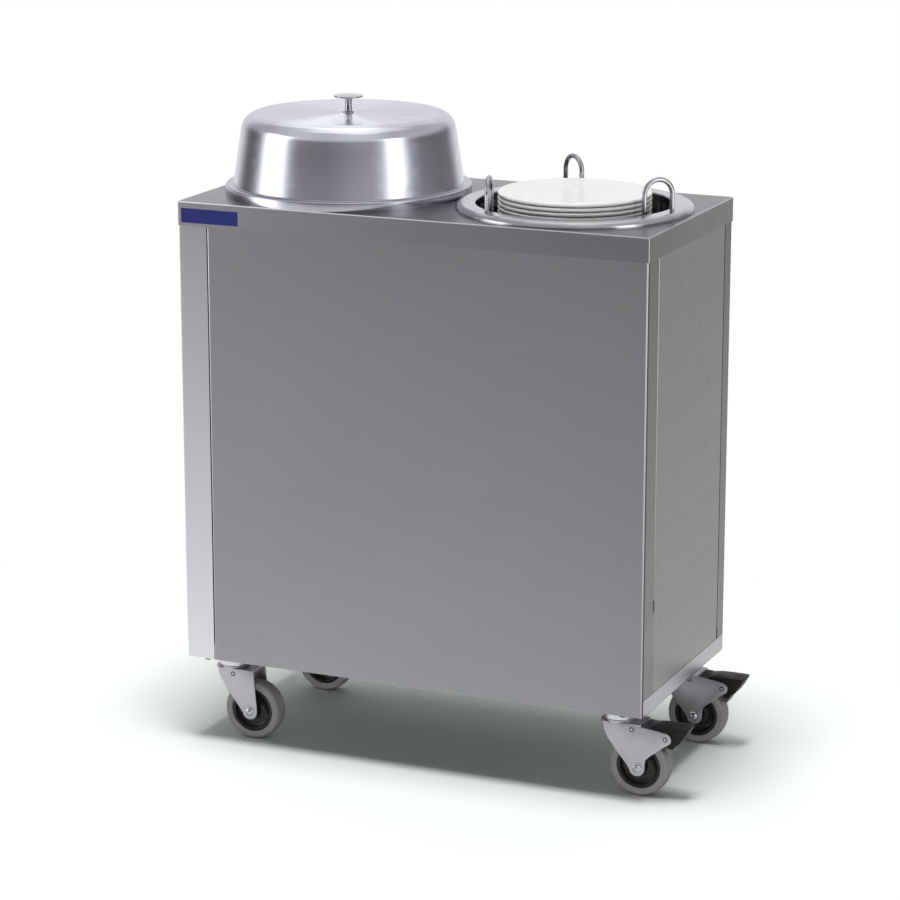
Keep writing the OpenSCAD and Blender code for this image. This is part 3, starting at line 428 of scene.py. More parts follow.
def rim_painted_light(tree, place):
    """Painted light: lighter at the rear and front and darker to the right, painted shade on the end, and a painted
    highlight on the bends, where two of three limits are met.
    """
    away = node(tree, "ShaderNodeVectorMath", operation="ABSOLUTE")
    tree.links.new(place, away.inputs[0])
    out_x, out_y, out_z = (band(tree, away.outputs[0], axis, low, 1.0) for axis, low in rim_bends)
    count = math_node(tree, "ADD", math_node(tree, "ADD", out_x, out_y), out_z)
    bends = math_node(tree, "GREATER_THAN", count, 1.5)
    shade = math_node(
        tree, "MULTIPLY", fade(tree, place, "X", 1.05, 0.68, -0.4, 0.3), fade(tree, place, "Y", 1.12, 1.5, -0.19, 0.19)
    )
    shade = marked(tree, shade, band(tree, place, "X", *rim_end), 0.66)
    shade = marked(tree, shade, band(tree, place, "Y", *rim_front), 1.25)
    return marked(tree, shade, bends, 3.2)


def dress(finish, *names):
    """Gives CAD nodes a material."""
    for name in names:
        piece = cart[name]
        piece.data.materials.clear()
        piece.data.materials.append(finish)


grain_x, grain_y, grain_z = (3, 500, 500), (500, 3, 500), (500, 500, 3)
panel_dark, panel_light = (0.232, 0.222, 0.238), (0.28, 0.268, 0.286)
panel_steel = satin_steel("panel steel", panel_dark, panel_light, 0.36, grain_x)
front_steel = satin_steel("front panel steel", panel_dark, panel_light, 0.36, grain_x, marks=front_painted_light)
end_steel = satin_steel("end panel steel", panel_dark, panel_light, 0.36, grain_y, marks=end_painted_light)
tray_steel = satin_steel("tray steel", (0.4, 0.384, 0.41), (0.48, 0.462, 0.49), 0.36, grain_x, marks=tray_painted_shade)
post_steel = satin_steel(
    "post steel", (0.385, 0.37, 0.395), (0.455, 0.438, 0.466), 0.34, grain_z, depth=1.0, marks=post_painted_light
)
top_steel = satin_steel("worktop steel", (0.16, 0.157, 0.17), (0.2, 0.196, 0.21), 0.32, grain_x, marks=rim_painted_light)
dress(front_steel, "front_panel")
dress(end_steel, "left_end_panel", "right_end_panel")
dress(panel_steel, "rear_panel", "top_frame", "castor_channels")
dress(tray_steel, "base_tray")
dress(post_steel, "corner_posts")
dress(top_steel, "worktop")

# Trim of the cabinet: the blank enamelled plate on the rim, the dark clips in the end
# seams and the domed plugs under the posts.


def worn(start, patch_size, dark, light, gloss=None, follows="Smudges"):
    """Gives a started material soft patches of two tones, and gloss that follows the wear."""
    made, tree, shader = start
    wear = use(tree, handling, Place=object_place(tree), Patch_size=patch_size)
    tree.links.new(tint(tree, wear.outputs["Patches"], dark, light), shader.inputs["Base Color"])
    if gloss:
        tree.links.new(between(tree, wear.outputs[follows], *gloss), shader.inputs["Roughness"])
    return made


plate_blue = worn(
    material("enamelled plate", (0.02, 0.03, 0.19), 0.0, 0.4, Specular_IOR_Level=0.25),
    60.0, (0.018, 0.026, 0.16), (0.028, 0.038, 0.21),
)
dark_plastic = worn(
    material("dark plastic", (0.02, 0.02, 0.022), 0.0, 0.5),
    30.0, (0.014, 0.014, 0.016), (0.03, 0.03, 0.032), (0.42, 0.6),
)
dress(plate_blue, "rim_plate")
dress(dark_plastic, "tray_plugs")

clip_seams = ((-0.1496, 0.3178), (0.1636, 0.1848))
tongue_x, tongue = 0.3983, (0.0110, 0.0018, 0.0200)
head_x, head = 0.4034, (0.0016, 0.0030, 0.0186)
work = bmesh.new()
for side in (-1, 1):
    for seam_y, middle_z in clip_seams:
        for at_x, size in ((tongue_x, tongue), (head_x, head)):
            place = Matrix.Translation((side * at_x, seam_y, middle_z)) @ Matrix.Diagonal((*size, 1))
            block = bmesh.ops.create_cube(work, size=1.0, matrix=place)
            edges = list({edge for vert in block["verts"] for edge in vert.link_edges})
            bmesh.ops.bevel(work, geom=edges, offset=0.0004, segments=2, affect="EDGES", profile=0.5)
clip_mesh = bpy.data.meshes.new("seam_clips")
work.to_mesh(clip_mesh)
work.free()
clips = add("seam_clips", clip_mesh)
clips.data.materials.append(dark_plastic)
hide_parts("panel_clips")
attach(clips, "cabinet")

# Wells. Polished bezel rings on the worktop, and under them the plain zinc-plated
# hangers, sockets, rods and bottom rings that carry the dispensers.
polished = worn(
    material("polished steel", (0.72, 0.72, 0.74), 1.0, 0.16),
    14.0, (0.40, 0.40, 0.425), (0.5, 0.5, 0.525), (0.2, 0.32),
)
zinc = worn(
    material("zinc plate", (0.5, 0.5, 0.52), 1.0, 0.38),
    45.0, (0.58, 0.58, 0.6), (0.74, 0.74, 0.76), (0.3, 0.46), "Patches",
)
dress(polished, "left_ring", "right_ring", "guide_rods")
dress(
    zinc, "left_hanger", "right_hanger", "hoop_sockets", "bottom_rings", "rod_nuts", "stop_collars",
    "left_platform", "right_platform", "left_spider", "right_spider", "castor_plates", "castor_bolts",
)

# Springs. Six drawn springs hang from each hanger down to the carrier's arms, so the carrier rises as
# plates are taken off. Close coils of bright wire.
well_middle = {"left": -0.1915, "right": 0.2055}
arm_turns, arm_reach, pair_aside = (56.5, 176.5, 296.5), 0.168, 0.032
coil_turns, coil_radius, wire_radius, end_gap = 38.0, 0.006, 0.0009, 0.0012


def start_recipe(name, inputs, output):
    """Starts a Geometry Nodes tree with named inputs."""
    recipe = bpy.data.node_groups.new(name, "GeometryNodeTree")
    recipe.is_modifier = True
    for label, kind in inputs:
        recipe.interface.new_socket(label, in_out="INPUT", socket_type=kind)
    recipe.interface.new_socket(output, in_out="OUTPUT", socket_type="NodeSocketGeometry")
    return recipe, recipe.nodes.new("NodeGroupInput").outputs, recipe.nodes.new("NodeGroupOutput")


def finish_recipe(recipe, copies, finish, result):
    """Turns the copies into plain mesh, gives them their material and puts them out."""
    made_real = node(recipe, "GeometryNodeRealizeInstances")
    recipe.links.new(copies.outputs[0], made_real.inputs[0])
    finished = node(recipe, "GeometryNodeSetMaterial")
    recipe.links.new(made_real.outputs[0], finished.inputs["Geometry"])
    recipe.links.new(finish, finished.inputs["Material"])
    recipe.links.new(finished.outputs[0], result.inputs[0])


def grow(name, mesh, recipe, **inputs):
    """Runs a Geometry Nodes tree on a mesh and returns the piece as a plain mesh."""
    seed = add(name + " seed", mesh)
    step = seed.modifiers.new("grow", "NODES")
    step.node_group = recipe
    for socket in recipe.interface.items_tree:
        if socket.in_out == "INPUT" and socket.name in inputs:
            step[socket.identifier] = inputs[socket.name]
    bpy.context.view_layer.update()
    ready = seed.evaluated_get(bpy.context.evaluated_depsgraph_get())
    plain = bpy.data.meshes.new_from_object(ready)
    seed.modifiers.remove(step)
    bpy.data.objects.remove(seed)
    plain.name = name
    plain.shade_smooth()
    return add(name, plain)


coiling, given, result = start_recipe(
    "well springs",
    (
        ("Places", "NodeSocketGeometry"), ("Turns", "NodeSocketFloat"), ("Height", "NodeSocketFloat"),
        ("Radius", "NodeSocketFloat"), ("Wire", "NodeSocketFloat"), ("Steel", "NodeSocketMaterial"),
    ),
    "Springs",
)
coil = node(coiling, "GeometryNodeCurveSpiral", Resolution=14)
for label, socket in (
    ("Turns", "Rotations"), ("Height", "Height"), ("Radius", "Start Radius"), ("Radius", "End Radius"),
):
    coiling.links.new(given[label], coil.inputs[socket])
section = node(coiling, "GeometryNodeCurvePrimitiveCircle", Resolution=6)
coiling.links.new(given["Wire"], section.inputs["Radius"])
drawn = node(coiling, "GeometryNodeCurveToMesh", Fill_Caps=True)
coiling.links.new(coil.outputs[0], drawn.inputs["Curve"])
coiling.links.new(section.outputs[0], drawn.inputs["Profile Curve"])
hung = node(coiling, "GeometryNodeInstanceOnPoints")
coiling.links.new(given["Places"], hung.inputs["Points"])
coiling.links.new(drawn.outputs[0], hung.inputs["Instance"])
finish_recipe(coiling, hung, given["Steel"], result)

for side, well_x in well_middle.items():
    low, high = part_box(f"{side}_springs")
    spots = []
    for arm in arm_turns:
        a = math.radians(arm)
        for off in (-pair_aside, pair_aside):
            spots.append((
                well_x + arm_reach * math.cos(a) - off * math.sin(a),
                arm_reach * math.sin(a) + off * math.cos(a), low.z + end_gap,
            ))
    points = bpy.data.meshes.new(f"{side} spring places")
    points.from_pydata(spots, [], [])
    springs = grow(
        f"{side}_well_springs", points, coiling, Turns=coil_turns, Height=high.z - low.z - 2 * end_gap,
        Radius=coil_radius, Wire=wire_radius, Steel=polished,
    )
    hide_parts(f"{side}_springs")
    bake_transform(springs)

# Guide hoops. Round bright rod bent into an arch. One leg turns in a socket under the
# ring and the other reaches down beside the plates and keeps them in line.
dress(
    polished, "left_hoop_side", "left_hoop_back", "left_hoop_front",
    "right_hoop_side", "right_hoop_back", "right_hoop_front",
)

# Plates. White glazed porcelain, pressed and fired, each with a rolled rim and a bare
# foot ring that sits in the well of the plate below. Twelve are stacked.
plate_count, plate_step = 12, 0.0075
glaze = worn(
    material("white glaze", (0.86, 0.85, 0.85), 0.0, 0.3, Specular_IOR_Level=0.35),
    18.0, (0.8, 0.79, 0.79), (0.87, 0.86, 0.865), (0.28, 0.42),
)
stack_low, stack_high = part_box("plate_stack")
plate_axis = ((stack_low.x + stack_high.x) / 2, 0.0, stack_low.z)


def lathe(name, outline, axis, steps=144, lying=False):
    """Turns a closed outline of (radius, height) points round an axis through a point. A lying
    one has its axis along Y."""
    verts, rows = [], []
    for radius, height in outline:
        if radius < 1e-7:
            rows.append([len(verts)] * steps)
            verts.append((0, 0, height))
            continue
        rows.append(list(range(len(verts), len(verts) + steps)))
        for i in range(steps):
            a = 2 * math.pi * i / steps
            verts.append((radius * math.cos(a), radius * math.sin(a), height))
    faces = []
    for low, high in zip(rows, rows[1:] + rows[:1]):
        for i in range(steps):
            j = (i + 1) % steps
            corners = []
            for v in (low[i], low[j], high[j], high[i]):
                if v not in corners:
                    corners.append(v)
            if len(corners) > 2:
                faces.append(corners)
    mesh = bpy.data.meshes.new(name)
    mesh.from_pydata(verts, [], faces)
    turn = Matrix.Rotation(math.radians(90), 4, "X") if lying else Matrix()
    mesh.transform(Matrix.Translation(axis) @ turn)
    return solid(mesh)


def solid(mesh, sharp=35):
    """Merges doubled points, turns the faces outwards and shades the mesh smooth between its edges."""
    work = bmesh.new()
    work.from_mesh(mesh)
    bmesh.ops.remove_doubles(work, verts=work.verts, dist=1e-6)
    bmesh.ops.recalc_face_normals(work, faces=work.faces)
    work.to_mesh(mesh)
    work.free()
    mesh.shade_smooth()
    mesh.set_sharp_from_angle(angle=math.radians(sharp))
    return mesh


def arc(centre, radius, start, end, steps=10):
    """Points of an arc, by angles in degrees."""
    turns = [math.radians(start + (end - start) * i / steps) for i in range(steps + 1)]
    return [(centre[0] + radius * math.cos(a), centre[1] + radius * math.sin(a)) for a in turns]


def eased(points, steps=5):
    """A smooth line through points, for outlines that curve gently."""
    line = []
    padded = [points[0], *points, points[-1]]
    for a, b, c, d in zip(padded, padded[1:], padded[2:], padded[3:]):
        for i in range(steps):
            t = i / steps
            line.append(tuple(
                0.5 * (2 * q + (r - p) * t + (2 * p - 5 * q + 4 * r - s) * t * t + (3 * q - p - 3 * r + s) * t ** 3)
                for p, q, r, s in zip(a, b, c, d)
            ))
    return line + [points[-1]]


plate_top = eased([
    (0.0, 0.0074), (0.05, 0.0074), (0.078, 0.0076), (0.086, 0.0087), (0.096, 0.0112),
    (0.108, 0.0148), (0.1165, 0.0172),
], 4)
plate_rim = arc((0.11989, 0.01542), 0.0031, 106, -82, 12)
plate_under = eased([
    (0.1175, 0.0120), (0.110, 0.0104), (0.098, 0.0064), (0.088, 0.0034), (0.081, 0.0025), (0.0757, 0.0025),
], 4)
plate_foot = [
    (0.0752, 0.0021), (0.0745, 0.0002), (0.0735, 0.00005), (0.0693, 0.00005), (0.0683, 0.0003),
    (0.0678, 0.0025), (0.0, 0.0025),
]
one_plate = lathe("one plate", plate_top + plate_rim + plate_under + plate_foot, plate_axis, 108)

# Copies of one plate in a straight pile
piling, given, result = start_recipe(
    "plate pile",
    (
        ("Plate", "NodeSocketGeometry"), ("Count", "NodeSocketInt"), ("Step", "NodeSocketFloat"),
        ("Glaze", "NodeSocketMaterial"),
    ),
    "Pile",
)
gap = node(piling, "ShaderNodeCombineXYZ")
piling.links.new(given["Step"], gap.inputs["Z"])
column = node(piling, "GeometryNodeMeshLine", mode="OFFSET")
piling.links.new(given["Count"], column.inputs["Count"])
piling.links.new(gap.outputs[0], column.inputs["Offset"])
copies = node(piling, "GeometryNodeInstanceOnPoints")
piling.links.new(column.outputs[0], copies.inputs["Points"])
piling.links.new(given["Plate"], copies.inputs["Instance"])
finish_recipe(piling, copies, given["Glaze"], result)
stack = grow("stacked_plates", one_plate, piling, Count=plate_count, Step=plate_step, Glaze=glaze)
solid(stack.data)
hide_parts("plate_stack")
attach(stack, "plates")

# Lid. A shell spun from one aluminium disc on a lathe, which leaves fine rings round its axis and a
# sheen that fans out from the middle, with a painted sheen towards the front. It stands over the left ring by its
# skirt.
lid_low, lid_high, lid_wall, ledge_high = 0.9152, 0.13, 0.0015, 0.0172
lid_axis = (well_middle["left"], 0, lid_low)
lean_share, skirt_radius, skirt_high = 0.156, 0.18900, 0.0168
bend_radius, bend_high, painted_sheen_aim = 0.028, 0.102, (0.208, -0.978, 0)

turning, given, result = effect_group(
    "turning marks",
    [("Place", "NodeSocketVector", None), ("Fineness", "NodeSocketFloat", 900.0)],
    [("Rings", "NodeSocketFloat"), ("Sweep", "NodeSocketFloat")],
)
apart = node(turning, "ShaderNodeSeparateXYZ")
turning.links.new(given.outputs["Place"], apart.inputs[0])
flat = node(turning, "ShaderNodeCombineXYZ")
turning.links.new(apart.outputs["X"], flat.inputs["X"])
turning.links.new(apart.outputs["Y"], flat.inputs["Y"])
out_from_axis = node(turning, "ShaderNodeVectorMath", operation="LENGTH")
turning.links.new(flat.outputs[0], out_from_axis.inputs[0])
profile = node(turning, "ShaderNodeCombineXYZ")
turning.links.new(out_from_axis.outputs["Value"], profile.inputs["X"])
turning.links.new(apart.outputs["Z"], profile.inputs["Y"])
rings = node(turning, "ShaderNodeTexNoise", noise_dimensions="2D", Detail=3.0, Roughness=0.7)
turning.links.new(profile.outputs[0], rings.inputs["Vector"])
turning.links.new(given.outputs["Fineness"], rings.inputs["Scale"])
sweep = node(turning, "ShaderNodeTexNoise", Scale=3.2, Detail=2.0, Roughness=0.5)
turning.links.new(level_heading(turning, given.outputs["Place"]), sweep.inputs["Vector"])
turning.links.new(rings.outputs[0], result.inputs["Rings"])
turning.links.new(sweep.outputs[0], result.inputs["Sweep"])

spun, tree, shader = material("spun aluminium", (0.8, 0.8, 0.83), 1.0, 0.26, Anisotropic=0.7)
spot = object_place(tree, (well_middle["left"], 0, 0))
marks = use(tree, turning, Place=spot, Fineness=700.0)
wear = use(tree, handling, Place=spot, Patch_size=9.0)
colour = tint(tree, marks.outputs["Sweep"], (0.55, 0.56, 0.62), (0.73, 0.74, 0.82))
# Painted shade on the skirt and its ledge and a darker top, with a painted sheen in a wedge from the middle towards
# the front of the top.
shade = between(tree, band(tree, spot, "Z", 0.9, lid_low + ledge_high), 1.0, 0.7)
painted_sheen = between(tree, toward(tree, level_heading(tree, spot), painted_sheen_aim), 0.0, 1.0, 0.8, 0.95)
top_from, top_full = lid_low + 0.09, lid_low + 0.12
painted_sheen = math_node(tree, "MULTIPLY", painted_sheen, fade(tree, spot, "Z", 0.0, 0.5, top_from, top_full))
shade = math_node(tree, "MULTIPLY", shade, fade(tree, spot, "Z", 1.0, 0.85, top_from, top_full))
shade = math_node(tree, "MULTIPLY", shade, math_node(tree, "ADD", painted_sheen, 1.0))
tree.links.new(scale_colour(tree, colour, shade), shader.inputs["Base Color"])
matt = math_node(tree, "MULTIPLY", wear.outputs["Smudges"], 0.05)
matt = math_node(tree, "ADD", matt, between(tree, marks.outputs["Rings"], 0.15, 0.25))
tree.links.new(matt, shader.inputs["Roughness"])
grain_way = node(tree, "ShaderNodeTangent", direction_type="RADIAL", axis="Z")
tree.links.new(grain_way.outputs[0], shader.inputs["Tangent"])
relief(tree, shader, marks.outputs["Rings"], 0.2, 0.0001)

lean = math.atan(lean_share)
shoulder = (
    skirt_radius - (bend_high + bend_radius * math.sin(lean) - skirt_high) * lean_share
    - bend_radius * math.cos(lean),
    bend_high,
)


def lid_line(inset):
    """The lid's outer face, or a line that far inside it."""
    return (
        [(0.2015 - inset, 0.0)]
        + arc((0.1985, 0.0122), 0.003 - inset, 0, 90, 6)
        + arc((0.1906, skirt_high), 0.0016 + inset, 270, 180 + math.degrees(lean), 6)
        + arc(shoulder, bend_radius - inset, math.degrees(lean), 90, 18)
        + [(radius, lid_high - inset) for radius in (0.12, 0.08, 0.04, 0.0033)]
    )


shell_line = lid_line(0.0) + lid_line(lid_wall)[::-1]
shell = add("spun_lid", lathe("spun_lid", shell_line, lid_axis, 180))
shell.data.materials.append(spun)
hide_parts("lid_shell")
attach(shell, "lid")

# Lid knob. Turned bright steel: a foot, a waisted stem and a shallow domed disc with a
# rolled edge, held by one screw through the lid.
knob_axis = (well_middle["left"], 0, lid_low + lid_high)
turned, tree, shader = material("turned steel", (0.66, 0.66, 0.69), 1.0, 0.12)
marks = use(tree, turning, Place=object_place(tree, (well_middle["left"], 0, 0)), Fineness=2500.0)
tree.links.new(tint(tree, marks.outputs["Rings"], (0.4, 0.4, 0.43), (0.56, 0.56, 0.59)), shader.inputs["Base Color"])
tree.links.new(between(tree, marks.outputs["Rings"], 0.07, 0.2), shader.inputs["Roughness"])
knob_line = (
    [(0.0, 0.0), (0.0088, 0.0), (0.009, 0.0004), (0.009, 0.0014), (0.0083, 0.002), (0.0066, 0.0024)]
    + eased([(0.0061, 0.0032), (0.0056, 0.0090), (0.0054, 0.0150), (0.0060, 0.0222)], 6)
    + [(0.0085, 0.0239), (0.014, 0.0244), (0.0205, 0.0247)]
    + arc((0.0228, 0.0262), 0.0015, -80, 85, 8)
    + [(0.0205, 0.02805), (0.012, 0.0289), (0.005, 0.02925), (0.0, 0.0293)]
)
knob = add("turned_knob", lathe("turned_knob", knob_line, knob_axis, 96))
knob.data.materials.append(turned)
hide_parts("lid_knob")
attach(knob, "lid")
dress(zinc, "knob_screw")

# Castor forks. Pressed zinc-plated steel: two sides folded down from a crown that turns on
# a ball race. The brake end's forks have an ear that carries the pedal.
swivel_out, swivel_aside, castor_trail, axle_high = 0.345, 0.138, 0.038, 0.05
fork_out, fork_in, crown_low, crown_high = 0.024, 0.021, 0.118, 0.1219
rivet_y, rivet_radius = 0.0233, 0.0026
corners = {
    "front_left": (-swivel_out, -swivel_aside), "front_right": (swivel_out, -swivel_aside),
    "rear_left": (-swivel_out, swivel_aside), "rear_right": (swivel_out, swivel_aside),
}

bright_zinc, tree, shader = material("bright zinc plate", (0.66, 0.66, 0.68), 1.0, 0.36)
spot = object_place(tree)
wear = use(tree, handling, Place=spot, Patch_size=34.0)
grain = use(tree, brushing, Place=spot, Stretch=(90, 90, 260))
tone = math_node(tree, "MULTIPLY", math_node(tree, "ADD", wear.outputs["Patches"], grain.outputs["Streaks"]), 0.5)
colour = tint(tree, tone, (0.4, 0.378, 0.41), (0.53, 0.502, 0.54))
# The washers under the rivets are darkened, as painted shade round the rivets.
rivet_painted_shade = node(tree, "ShaderNodeAttribute", attribute_name="washer_painted_shade")
tree.links.new(
    scale_colour(tree, colour, between(tree, rivet_painted_shade.outputs["Fac"], 1.0, 0.15)), shader.inputs["Base Color"]
)
tree.links.new(between(tree, wear.outputs["Patches"], 0.32, 0.5), shader.inputs["Roughness"])
relief(tree, shader, grain.outputs["Streaks"], 0.1, 0.0002)

# The sides' outlines, in millimetres from the axle's foot on the floor
plain_side = (
    [(-57, 122), (-57, 116), (-55, 108), (-51, 101), (-45, 91), (-38, 80.5), (-31, 71), (-24, 62.5)]
    + [(-17, 53.5), (-11.5, 45.5)] + arc((0, 50), 13.5, 216, 355, 18)
    + [(13.5, 51), (13.3, 60), (11.5, 80), (9.5, 97), (7.5, 118), (6.7, 122)]
)
braked_side = (
    [(-57, 122), (-56, 110), (-53, 101), (-46, 90), (-38, 79.5), (-29, 68.5), (-18, 55.5), (-11.5, 45.5)]
    + arc((0, 50), 13.5, 216, 350, 18)
    + [(13.5, 51), (13.8, 60), (15.2, 65.6), (20, 70.5), (30, 78.5), (44, 89.6), (51.5, 94.9)]
    + arc((47.5, 104), 10, -60, 76, 14)
    + [(42, 115), (30, 116.8), (10, 118.8), (-9, 119.8), (-22, 122)]
)


def metres(outline):
    """An outline given in millimetres."""
    return [(x / 1000, z / 1000) for x, z in outline]


def dome(radius, low, rise, turns):
    """Points of a low dome, by angles in degrees."""
    turns = [math.radians(turn) for turn in turns]
    return [(radius * math.cos(a), low + rise * math.sin(a)) for a in turns]


def mirrored(outline):
    """An outline turned upside down."""
    return [(radius, -height) for radius, height in outline]


def prism(work, near, far):
    """Closes two like rings of points into a solid block, and returns its faces, the ends first."""
    near, far = [work.verts.new(point) for point in near], [work.verts.new(point) for point in far]
    faces = [work.faces.new(near), work.faces.new(far[::-1])]
    for i in range(len(near)):
        j = (i + 1) % len(near)
        faces.append(work.faces.new((near[j], near[i], far[i], far[j])))
    bmesh.ops.recalc_face_normals(work, faces=faces)
    return faces


def slab(work, outline, low_y, high_y, bevel=0.0005):
    """A bevelled plate cut to an outline of (x, z) points, standing between two y values."""
    ends = prism(work, [(x, low_y, z) for x, z in outline], [(x, high_y, z) for x, z in outline])[:2]
    edges = [edge for face in ends for edge in face.edges]
    bmesh.ops.bevel(work, geom=edges, offset=bevel, segments=2, affect="EDGES", profile=0.5)


def stud(work, outline, axis, lying, steps=32):
    """Adds a turned piece to a mesh in the making."""
    part = lathe("stud", outline, axis, steps, lying)
    work.from_mesh(part)
    bpy.data.meshes.remove(part)


def finish(name, work, at):
    """Turns a mesh in the making into a piece, moved to its place."""
    mesh = bpy.data.meshes.new(name)
    work.to_mesh(mesh)
    work.free()
    mesh.transform(Matrix.Translation(at))
    mesh.shade_smooth()
    mesh.set_sharp_from_angle(angle=math.radians(30))
    return add(name, mesh)


crown = [(0.0065, 0.0235), *arc((-castor_trail, 0), 0.030, 128, 226, 14), (0.0065, -0.0235)]
race = [(0.0, 0.1195), (0.0245, 0.1195)] + arc((0.0235, 0.1245), 0.0014, -20, 90, 5) + [(0.0, 0.1259)]
rivet = (
    [(0.0, -0.001), (rivet_radius, -0.001), (rivet_radius, 0.0009)]
    + dome(rivet_radius, 0.0009, 0.0007, (15, 35, 55, 75)) + [(0.0, 0.0016)]
)
washer = [(0.0, -0.001), (0.0042, -0.001), (0.0042, 0.0008), (0.0040, 0.00095), (0.0, 0.00095)]
for corner, (swivel_x, swivel_y) in corners.items():
    braked = corner.endswith("right")
    outline = metres(braked_side if braked else plain_side)
    work = bmesh.new()
    slab(work, outline, -fork_out, -fork_in)
    slab(work, outline, fork_in, fork_out)
    prism(work, [(x, y, crown_low) for x, y in crown], [(x, y, crown_high) for x, y in crown])
    stud(work, race, (-castor_trail, 0, 0), False, 72)
    # The washer faces are marked for painted shade.
    washer_shade_layer = work.faces.layers.float.new("washer_painted_shade")
    for spot_x, spot_z in ([(-0.009, 0.1135), (0.0475, 0.104)] if braked else [(-0.030, 0.113)]):
        before = set(work.faces)
        stud(work, washer, (spot_x, -rivet_y, spot_z), True)
        stud(work, mirrored(washer), (spot_x, rivet_y, spot_z), True)
        for face in set(work.faces) - before:
            face[washer_shade_layer] = 1.0
        stud(work, rivet, (spot_x, -rivet_y, spot_z), True)
        stud(work, mirrored(rivet), (spot_x, rivet_y, spot_z), True)
    piece = finish(f"pressed_fork_{corner}", work, (swivel_x + castor_trail, swivel_y, 0))
    piece.data.materials.append(bright_zinc)
    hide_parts(f"fork_{corner}")
    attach(piece, f"castor_{corner}")

# Axle bolts. Plain steel, turned and domed, through fork and hub: a washer and a domed
# head on one side, and a nut over the bolt's end on the other.
head_radius, nut_radius, nut_low, nut_high = 0.0066, 0.0078, 0.0242, 0.0308
bolt_line = (
    [(0.0, -0.0300), (0.0046, -0.0300), (0.005, -0.0296), (0.005, 0.0242)]
    + [(0.0079, 0.0242), (0.0079, 0.0254), (head_radius, 0.0256)]
    + dome(head_radius, 0.0256, 0.0041, (10, 25, 40, 55, 70))
    + [(0.0018, 0.0296), (0.0014, 0.0288), (0.0, 0.0288)]
)
for corner, (swivel_x, swivel_y) in corners.items():
    work = bmesh.new()
    stud(work, bolt_line, (0, 0, 0), True, 48)
    slab(work, arc((0, 0), nut_radius, 0, 300, 5), nut_low, nut_high, 0.0004)
    piece = finish(f"axle_bolt_{corner}", work, (swivel_x + castor_trail, swivel_y, axle_high))
    piece.data.materials.append(turned)
    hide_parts(f"axle_{corner}")
    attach(piece, f"castor_{corner}")

# Wheels. Glossy black moulded hubs, dished on both sides, in grey rubber tyres with
# rounded shoulders. The side of the tyre is smooth and its tread is scuffed.
gloss_black = worn(
    material("moulded hub", (0.012, 0.011, 0.013), 0.0, 0.22, Specular_IOR_Level=0.3),
    40.0, (0.01, 0.009, 0.012), (0.021, 0.019, 0.024), (0.18, 0.4),
)


def pitted(tree, shader, scale, detail, roughness, strength):
    """Fine pits, as on moulded rubber and plastic."""
    pits = node(tree, "ShaderNodeTexNoise", Scale=scale, Detail=detail, Roughness=roughness)
    tree.links.new(object_place(tree), pits.inputs["Vector"])
    relief(tree, shader, pits.outputs[0], strength, 0.0002)


tyre_grey, tree, shader = material("grey tyre", (0.17, 0.155, 0.158), 0.0, 0.6)
wear = use(tree, handling, Place=object_place(tree), Patch_size=30.0)
tone = math_node(tree, "MULTIPLY", math_node(tree, "ADD", wear.outputs["Patches"], wear.outputs["Smudges"]), 0.6)
tree.links.new(tint(tree, tone, (0.25, 0.232, 0.236), (0.335, 0.315, 0.32)), shader.inputs["Base Color"])
tree.links.new(between(tree, wear.outputs["Smudges"], 0.5, 0.72), shader.inputs["Roughness"])
pitted(tree, shader, 900.0, 3.0, 0.6, 0.25)

hub_half = (
    [(0.0052, 0.0198), (0.0120, 0.0198)] + arc((0.0120, 0.0190), 0.0008, 90, 0, 4)
    + [(0.0128, 0.0085), (0.0136, 0.0066), (0.0160, 0.0052), (0.0205, 0.0049), (0.0262, 0.0052)]
    + [(0.0285, 0.0066), (0.0302, 0.0105), (0.0312, 0.0128)]
    + arc((0.0330, 0.0126), 0.0013, 180, 60, 6) + [(0.0368, 0.0131), (0.0368, 0.0)]
)
hub_line = hub_half + mirrored(hub_half[::-1][1:])
tyre_half = (
    [(0.0369, 0.0), (0.0369, 0.0138), (0.0375, 0.0149), (0.0384, 0.0150), (0.0395, 0.01495)]
    + arc((0.0451, 0.0111), 0.0039, 88, 8, 8) + [(0.0494, 0.009), (0.0498, 0.0055), (0.0500, 0.002), (0.0500, 0.0)]
)
tyre_line = tyre_half + mirrored(tyre_half[::-1][1:-1])
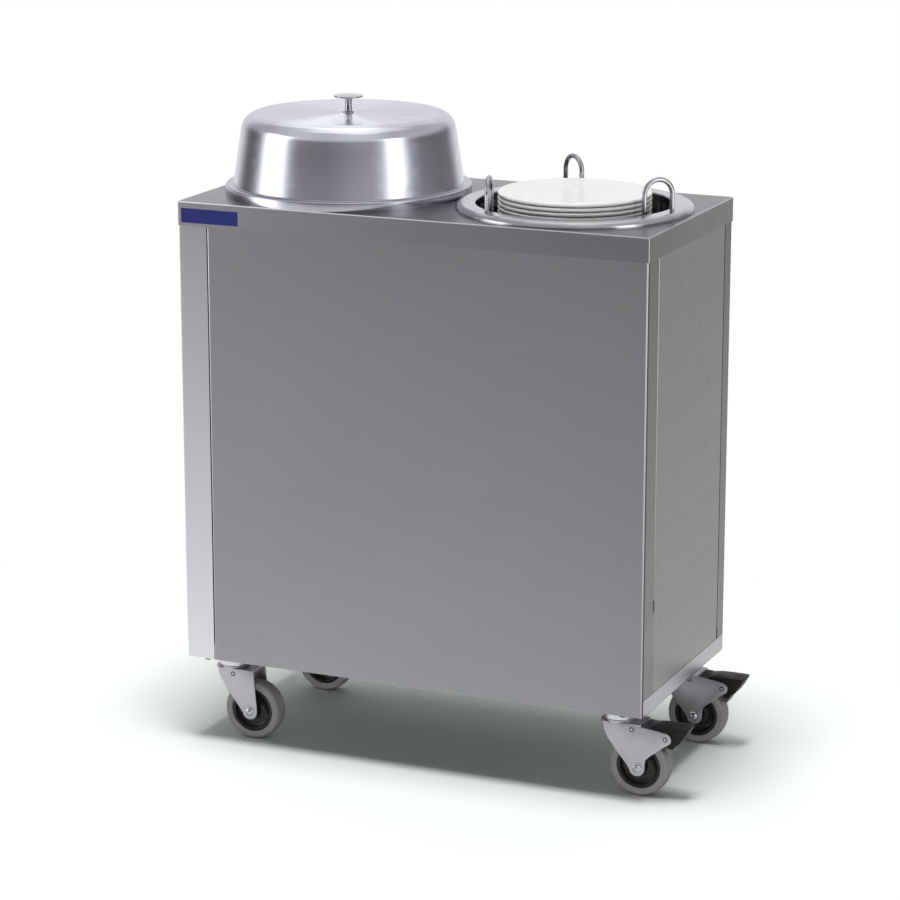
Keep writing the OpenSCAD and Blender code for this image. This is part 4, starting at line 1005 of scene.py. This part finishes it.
for corner, (swivel_x, swivel_y) in corners.items():
    axle = (swivel_x + castor_trail, swivel_y, axle_high)
    moulded = add(f"moulded_hub_{corner}", lathe("moulded_hub", hub_line, axle, 96, True))
    moulded.data.materials.append(gloss_black)
    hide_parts(f"hub_{corner}")
    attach(moulded, f"wheel_{corner}")
    rubber = add(f"rubber_tyre_{corner}", lathe("rubber_tyre", tyre_line, axle, 144, True))
    rubber.data.materials.append(tyre_grey)
    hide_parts(f"tyre_{corner}")
    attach(rubber, f"wheel_{corner}")

# Brakes. Black moulded pedals hung between the ears of the forks, with a thin sprung
# leaf and its shoe under each, just off the tyre.
pedal_half, rib_wide, rib_starts = 0.019, 0.007, (-0.0125, -0.0035, 0.0055)
pedal_line = [
    (18, 114.8), (20, 117.6), (24.4, 120.2), (36, 121.6), (50, 122), (64, 121.9), (77.5, 121.8),
    (81, 121.4), (82, 120.2), (81.6, 117.5), (75.5, 107), (68, 96), (62.8, 93.4), (60, 88.2),
    (58.4, 87), (53, 87), (50, 88.4), (46.8, 91.4), (37, 98.6), (26, 106),
]
rib_line = [(56, 121.0), (76, 121.0), (76.5, 121.95), (55.5, 121.98)]
pedal_start = material("moulded pedal", (0.01, 0.01, 0.011), 0.0, 0.55, Specular_IOR_Level=0.2)
grip = worn(pedal_start, 50.0, (0.006, 0.006, 0.007), (0.016, 0.016, 0.018), (0.5, 0.68))
pitted(*pedal_start[1:], 1400.0, 2.0, 0.5, 0.3)

for corner in ("front_right", "rear_right"):
    swivel_x, swivel_y = corners[corner]
    work = bmesh.new()
    slab(work, metres(pedal_line), -pedal_half, pedal_half, 0.0012)
    for low_y in rib_starts:
        slab(work, metres(rib_line), low_y, low_y + rib_wide, 0.0003)
    piece = finish(f"moulded_pedal_{corner}", work, (swivel_x + castor_trail, swivel_y, 0))
    piece.data.materials.append(grip)
    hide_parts(f"pedal_{corner}")
    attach(piece, f"brake_{corner}")

leaf_steel = worn(
    material("sprung leaf", (0.14, 0.14, 0.145), 1.0, 0.4),
    60.0, (0.1, 0.1, 0.105), (0.2, 0.2, 0.205), (0.34, 0.5),
)
dress(leaf_steel, "brake_pad_front_right", "brake_pad_rear_right")
